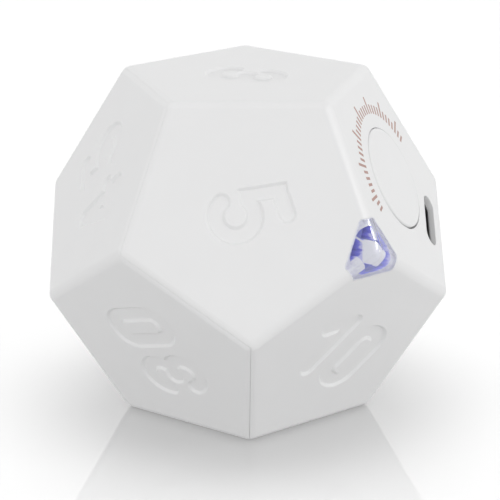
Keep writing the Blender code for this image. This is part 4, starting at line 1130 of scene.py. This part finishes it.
moulded_white = finish("moulded_white_casing", **WHITE_PLASTIC)
button_plastic = finish("moulded_white_button", **WHITE_PLASTIC)
scale_ink = finish("printed_rose_ink", (0.50, 0.315, 0.275), 0.5, mottle=0.10)
clear_plastic = finish("clear_polished_plastic", (0.97, 0.97, 1.0), 0.03, mottle=0.01, spread=0.02,
                       relief=0.000002, Transmission_Weight=1.0, IOR=1.49)
# Painted glow and painted shade on the guide under the clear corner: post and well darker deeper down
painted_glow_ends = painted_glow("milky_guide_ends", (0.0335, (0.58, 0.58, 0.70)), (0.0352, (0.76, 0.77, 0.80)),
                  roughness=0.3, strength=0.14)
painted_glow_post = painted_glow("blue_lit_post", (0.0325, (0.05, 0.05, 0.28)), (0.0338, (0.12, 0.12, 0.50)),
                (0.0344, (0.20, 0.20, 0.56)), (0.0347, (0.50, 0.50, 0.66)))
painted_glow_well = painted_glow("blue_lit_well", (0.0326, (0.17, 0.19, 0.42)), (0.0336, (0.20, 0.22, 0.70)),
                (0.0342, (0.30, 0.31, 0.72)), (0.0348, (0.62, 0.62, 0.80)))
drawn_steel = finish("drawn_steel", (0.40, 0.40, 0.41), 0.30, "crystal", Metallic=1.0, mottle=0.12,
                     scale=5000, stretch=(1, 1, 0.05))
gilt_contact = finish("gilt_contact", (0.85, 0.62, 0.28), 0.22, Metallic=1.0, mottle=0.1, scale=8000)
finish("green_solder_mask", (0.012, 0.12, 0.05), 0.32, "main_pcb", "cell_protection_board", mottle=0.2,
       copper=(0.03, 0.22, 0.10))
finish("white_solder_mask", (0.75, 0.76, 0.76), 0.35, "led_board", mottle=0.05,
       copper=(0.66, 0.67, 0.66))
finish("matt_chip_resin", (0.02, 0.02, 0.022), 0.5, "mcu_chip", "motion_sensor_chip", "charger_chip",
       *numbered("resistor", 3), mottle=0.3, spread=0.2, scale=14000, relief=0.00002)
finish("black_moulded_nylon", (0.025, 0.025, 0.027), 0.45, "switch_body", "buzzer_case", "usb_c_tongue",
       mottle=0.2, scale=6000)
finish("tan_fired_ceramic", (0.42, 0.30, 0.20), 0.5, *numbered("capacitor", 3), mottle=0.25, scale=20000)
finish("rolled_brass", (0.72, 0.53, 0.25), 0.32, "buzzer_disc", Metallic=1.0, mottle=0.2,
       stretch=(1, 0.1, 1), lines=((0.60, 0.42, 0.18), 0.004, 0.05, 0.002))
finish("zinc_plated_screw", (0.45, 0.45, 0.46), 0.35, *numbered("pcb_screw", 4), Metallic=1.0,
       mottle=0.2, scale=12000)
finish("silver_cell_pouch", (0.60, 0.61, 0.63), 0.35, "battery_cell", Metallic=0.8, mottle=0.15,
       scale=900, relief=0.00006, lines=((0.72, 0.73, 0.75), 0.006, 0.06, 0.003))
finish("grey_foam", (0.30, 0.30, 0.31), 0.9, "battery_pad", mottle=0.4, relief=0.00005, scale=3000,
       lines=((0.16, 0.16, 0.17), 0.0007, 0.25, 0.0003))
finish("ivory_nylon", (0.80, 0.77, 0.68), 0.5, "switch_plunger", "battery_plug", "battery_socket",
       mottle=0.06, scale=7000)
finish("lit_lamp_resin", (0.85, 0.75, 0.30), 0.3, "status_led", mottle=0.1,
       Emission_Color=(0.2, 0.25, 1.0, 1), Emission_Strength=6.0)
finish("red_wire_sleeve", (0.55, 0.02, 0.02), 0.45, "battery_lead_red", "led_lead_supply", mottle=0.08,
       scale=5000)
finish("black_wire_sleeve", (0.015, 0.015, 0.015), 0.45, "battery_lead_black", "led_lead_return",
       mottle=0.15, scale=5000)


# Pieces

def dress(piece, material, body, slot, *replaced):
    piece.data.materials.clear()
    piece.data.materials.append(material)
    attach(piece, body)
    if replaced:
        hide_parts(*replaced)
    return piece


cavity = sharp_block("cavity", CAVITY_RADIUS)
dress(front_half(cavity), moulded_white, "casing", "case_white", "front_shell")
dress(rear_half(cavity), moulded_white, "casing", "case_white", "rear_shell")
dress(clear_corner(), clear_plastic, "casing", "lens_blue", "corner_lens")
guide = dress(light_guide(), painted_glow_ends, "casing", "lens_blue", "corner_lens")
guide.data.materials.append(painted_glow_post)
guide.data.materials.append(painted_glow_well)
guide_faces(guide)
dress(push_button(), button_plastic, "button", "button_white", "button_cap")
dress(socket_can(), drawn_steel, "casing", "steel", "usb_c_shell")
scale = grown_piece("printed_scale", marks_tree(), scale_ink, BUTTON_FRAME)
dress(scale, scale_ink, "casing", "case_white")
contacts = grown_piece("tongue_contacts", contacts_tree(), gilt_contact, PORT_FRAME)
dress(contacts, gilt_contact, "casing", "brass")

for obj in set(HELPERS.all_objects):
    bpy.data.objects.remove(obj, do_unlink=True)
for group in (*HELPERS.children, HELPERS):
    bpy.data.collections.remove(group)


# Floor, light and camera

def show(tree, unseen, seen, output):
    """One shader for rays that only carry light, another for those of camera, mirrors and lenses."""
    rays = add_node(tree, "ShaderNodeLightPath").outputs
    share = maths(tree, "MAXIMUM", rays["Is Camera Ray"], rays["Is Glossy Ray"])
    share = maths(tree, "MAXIMUM", share, rays["Is Transmission Ray"])
    mix = add_node(tree, "ShaderNodeMixShader", share, unseen.outputs[0], seen.outputs[0])
    tree.links.new(mix.outputs[0], tree.nodes[output].inputs["Surface"])


floor_mesh = bpy.data.meshes.new("floor")
floor_body = bmesh.new()
bmesh.ops.create_grid(floor_body, x_segments=1, y_segments=1, size=FLOOR_REACH)
floor_body.to_mesh(floor_mesh)
floor_body.free()
floor = in_scene("floor", floor_mesh)
floor.location.z = -FLOOR_DROP

floor_white, tree, shader = new_material("floor_white")
shader["Base Color"].default_value = FLOOR_COLOUR
shader["Roughness"].default_value = FLOOR_ROUGHNESS
shader["IOR"].default_value = FLOOR_IOR
under = add_node(tree, "ShaderNodeEmission", Strength=FLOOR_UNDERLIGHT)
show(tree, under, tree.nodes["Principled BSDF"], "Material Output")
floor_mesh.materials.append(floor_white)

world = bpy.data.worlds.new("studio")
world.use_nodes = True
bpy.context.scene.world = world
tree = world.node_tree
looked_at = add_node(tree, "ShaderNodeTexCoord").outputs["Generated"]
rise = add_node(tree, "ShaderNodeSeparateXYZ", looked_at).outputs["Z"]
sky = add_node(tree, "ShaderNodeMapRange", Value=rise, From_Max=HORIZON_RISE,
               To_Min=HORIZON_STRENGTH, To_Max=SKY_STRENGTH)
ambient = add_node(tree, "ShaderNodeBackground", Color=WHITE, Strength=sky.outputs["Result"])
backdrop = tree.nodes["Background"]
backdrop.inputs["Color"].default_value = WHITE
show(tree, ambient, backdrop, "World Output")

for name, turn, rise, distance, size, watts, *pieces in LAMPS:
    out = ring_point(1, turn, math.tan(math.radians(rise)))
    light = bpy.data.lights.new(name, "AREA")
    light.size = size
    light.energy = watts
    lamp = in_scene(name, light)
    lamp.location = CENTRE + out.normalized() * distance
    lamp.rotation_mode = "QUATERNION"
    lamp.rotation_quaternion = (-out).to_track_quat("-Z", "Y")
    lamp.visible_camera = False
    lamp.visible_glossy = rise > LOW_RISE
    lamp.visible_diffuse = not name.endswith("glint")
    if pieces:
        lit = bpy.data.collections.new(name + "_lights")
        for piece in pieces:
            lit.objects.link(bpy.data.objects[piece])
        lamp.light_linking.receiver_collection = lit

camera_data = bpy.data.cameras.new("camera")
camera_data.lens = VIEW_LENS
camera_data.sensor_width = SENSOR_WIDTH
camera_data.clip_start = CLIP_START
camera = in_scene("camera", camera_data)
edge_length = (BUTTON_FACE[1] - BUTTON_FACE[0]).length
facing = Matrix.Rotation(-VIEW_TURN, 4, "Z") @ Matrix.Rotation(math.pi / 2 - VIEW_DROP, 4, "X")
facing = facing @ Matrix.Rotation(-VIEW_ROLL, 4, "Z")
back = Matrix.Translation(Vector(VIEW_PLACE) * edge_length)
camera.matrix_world = Matrix.Translation(CENTRE) @ facing @ back
bpy.context.scene.camera = camera
bpy.context.scene.view_settings.view_transform = "Standard"
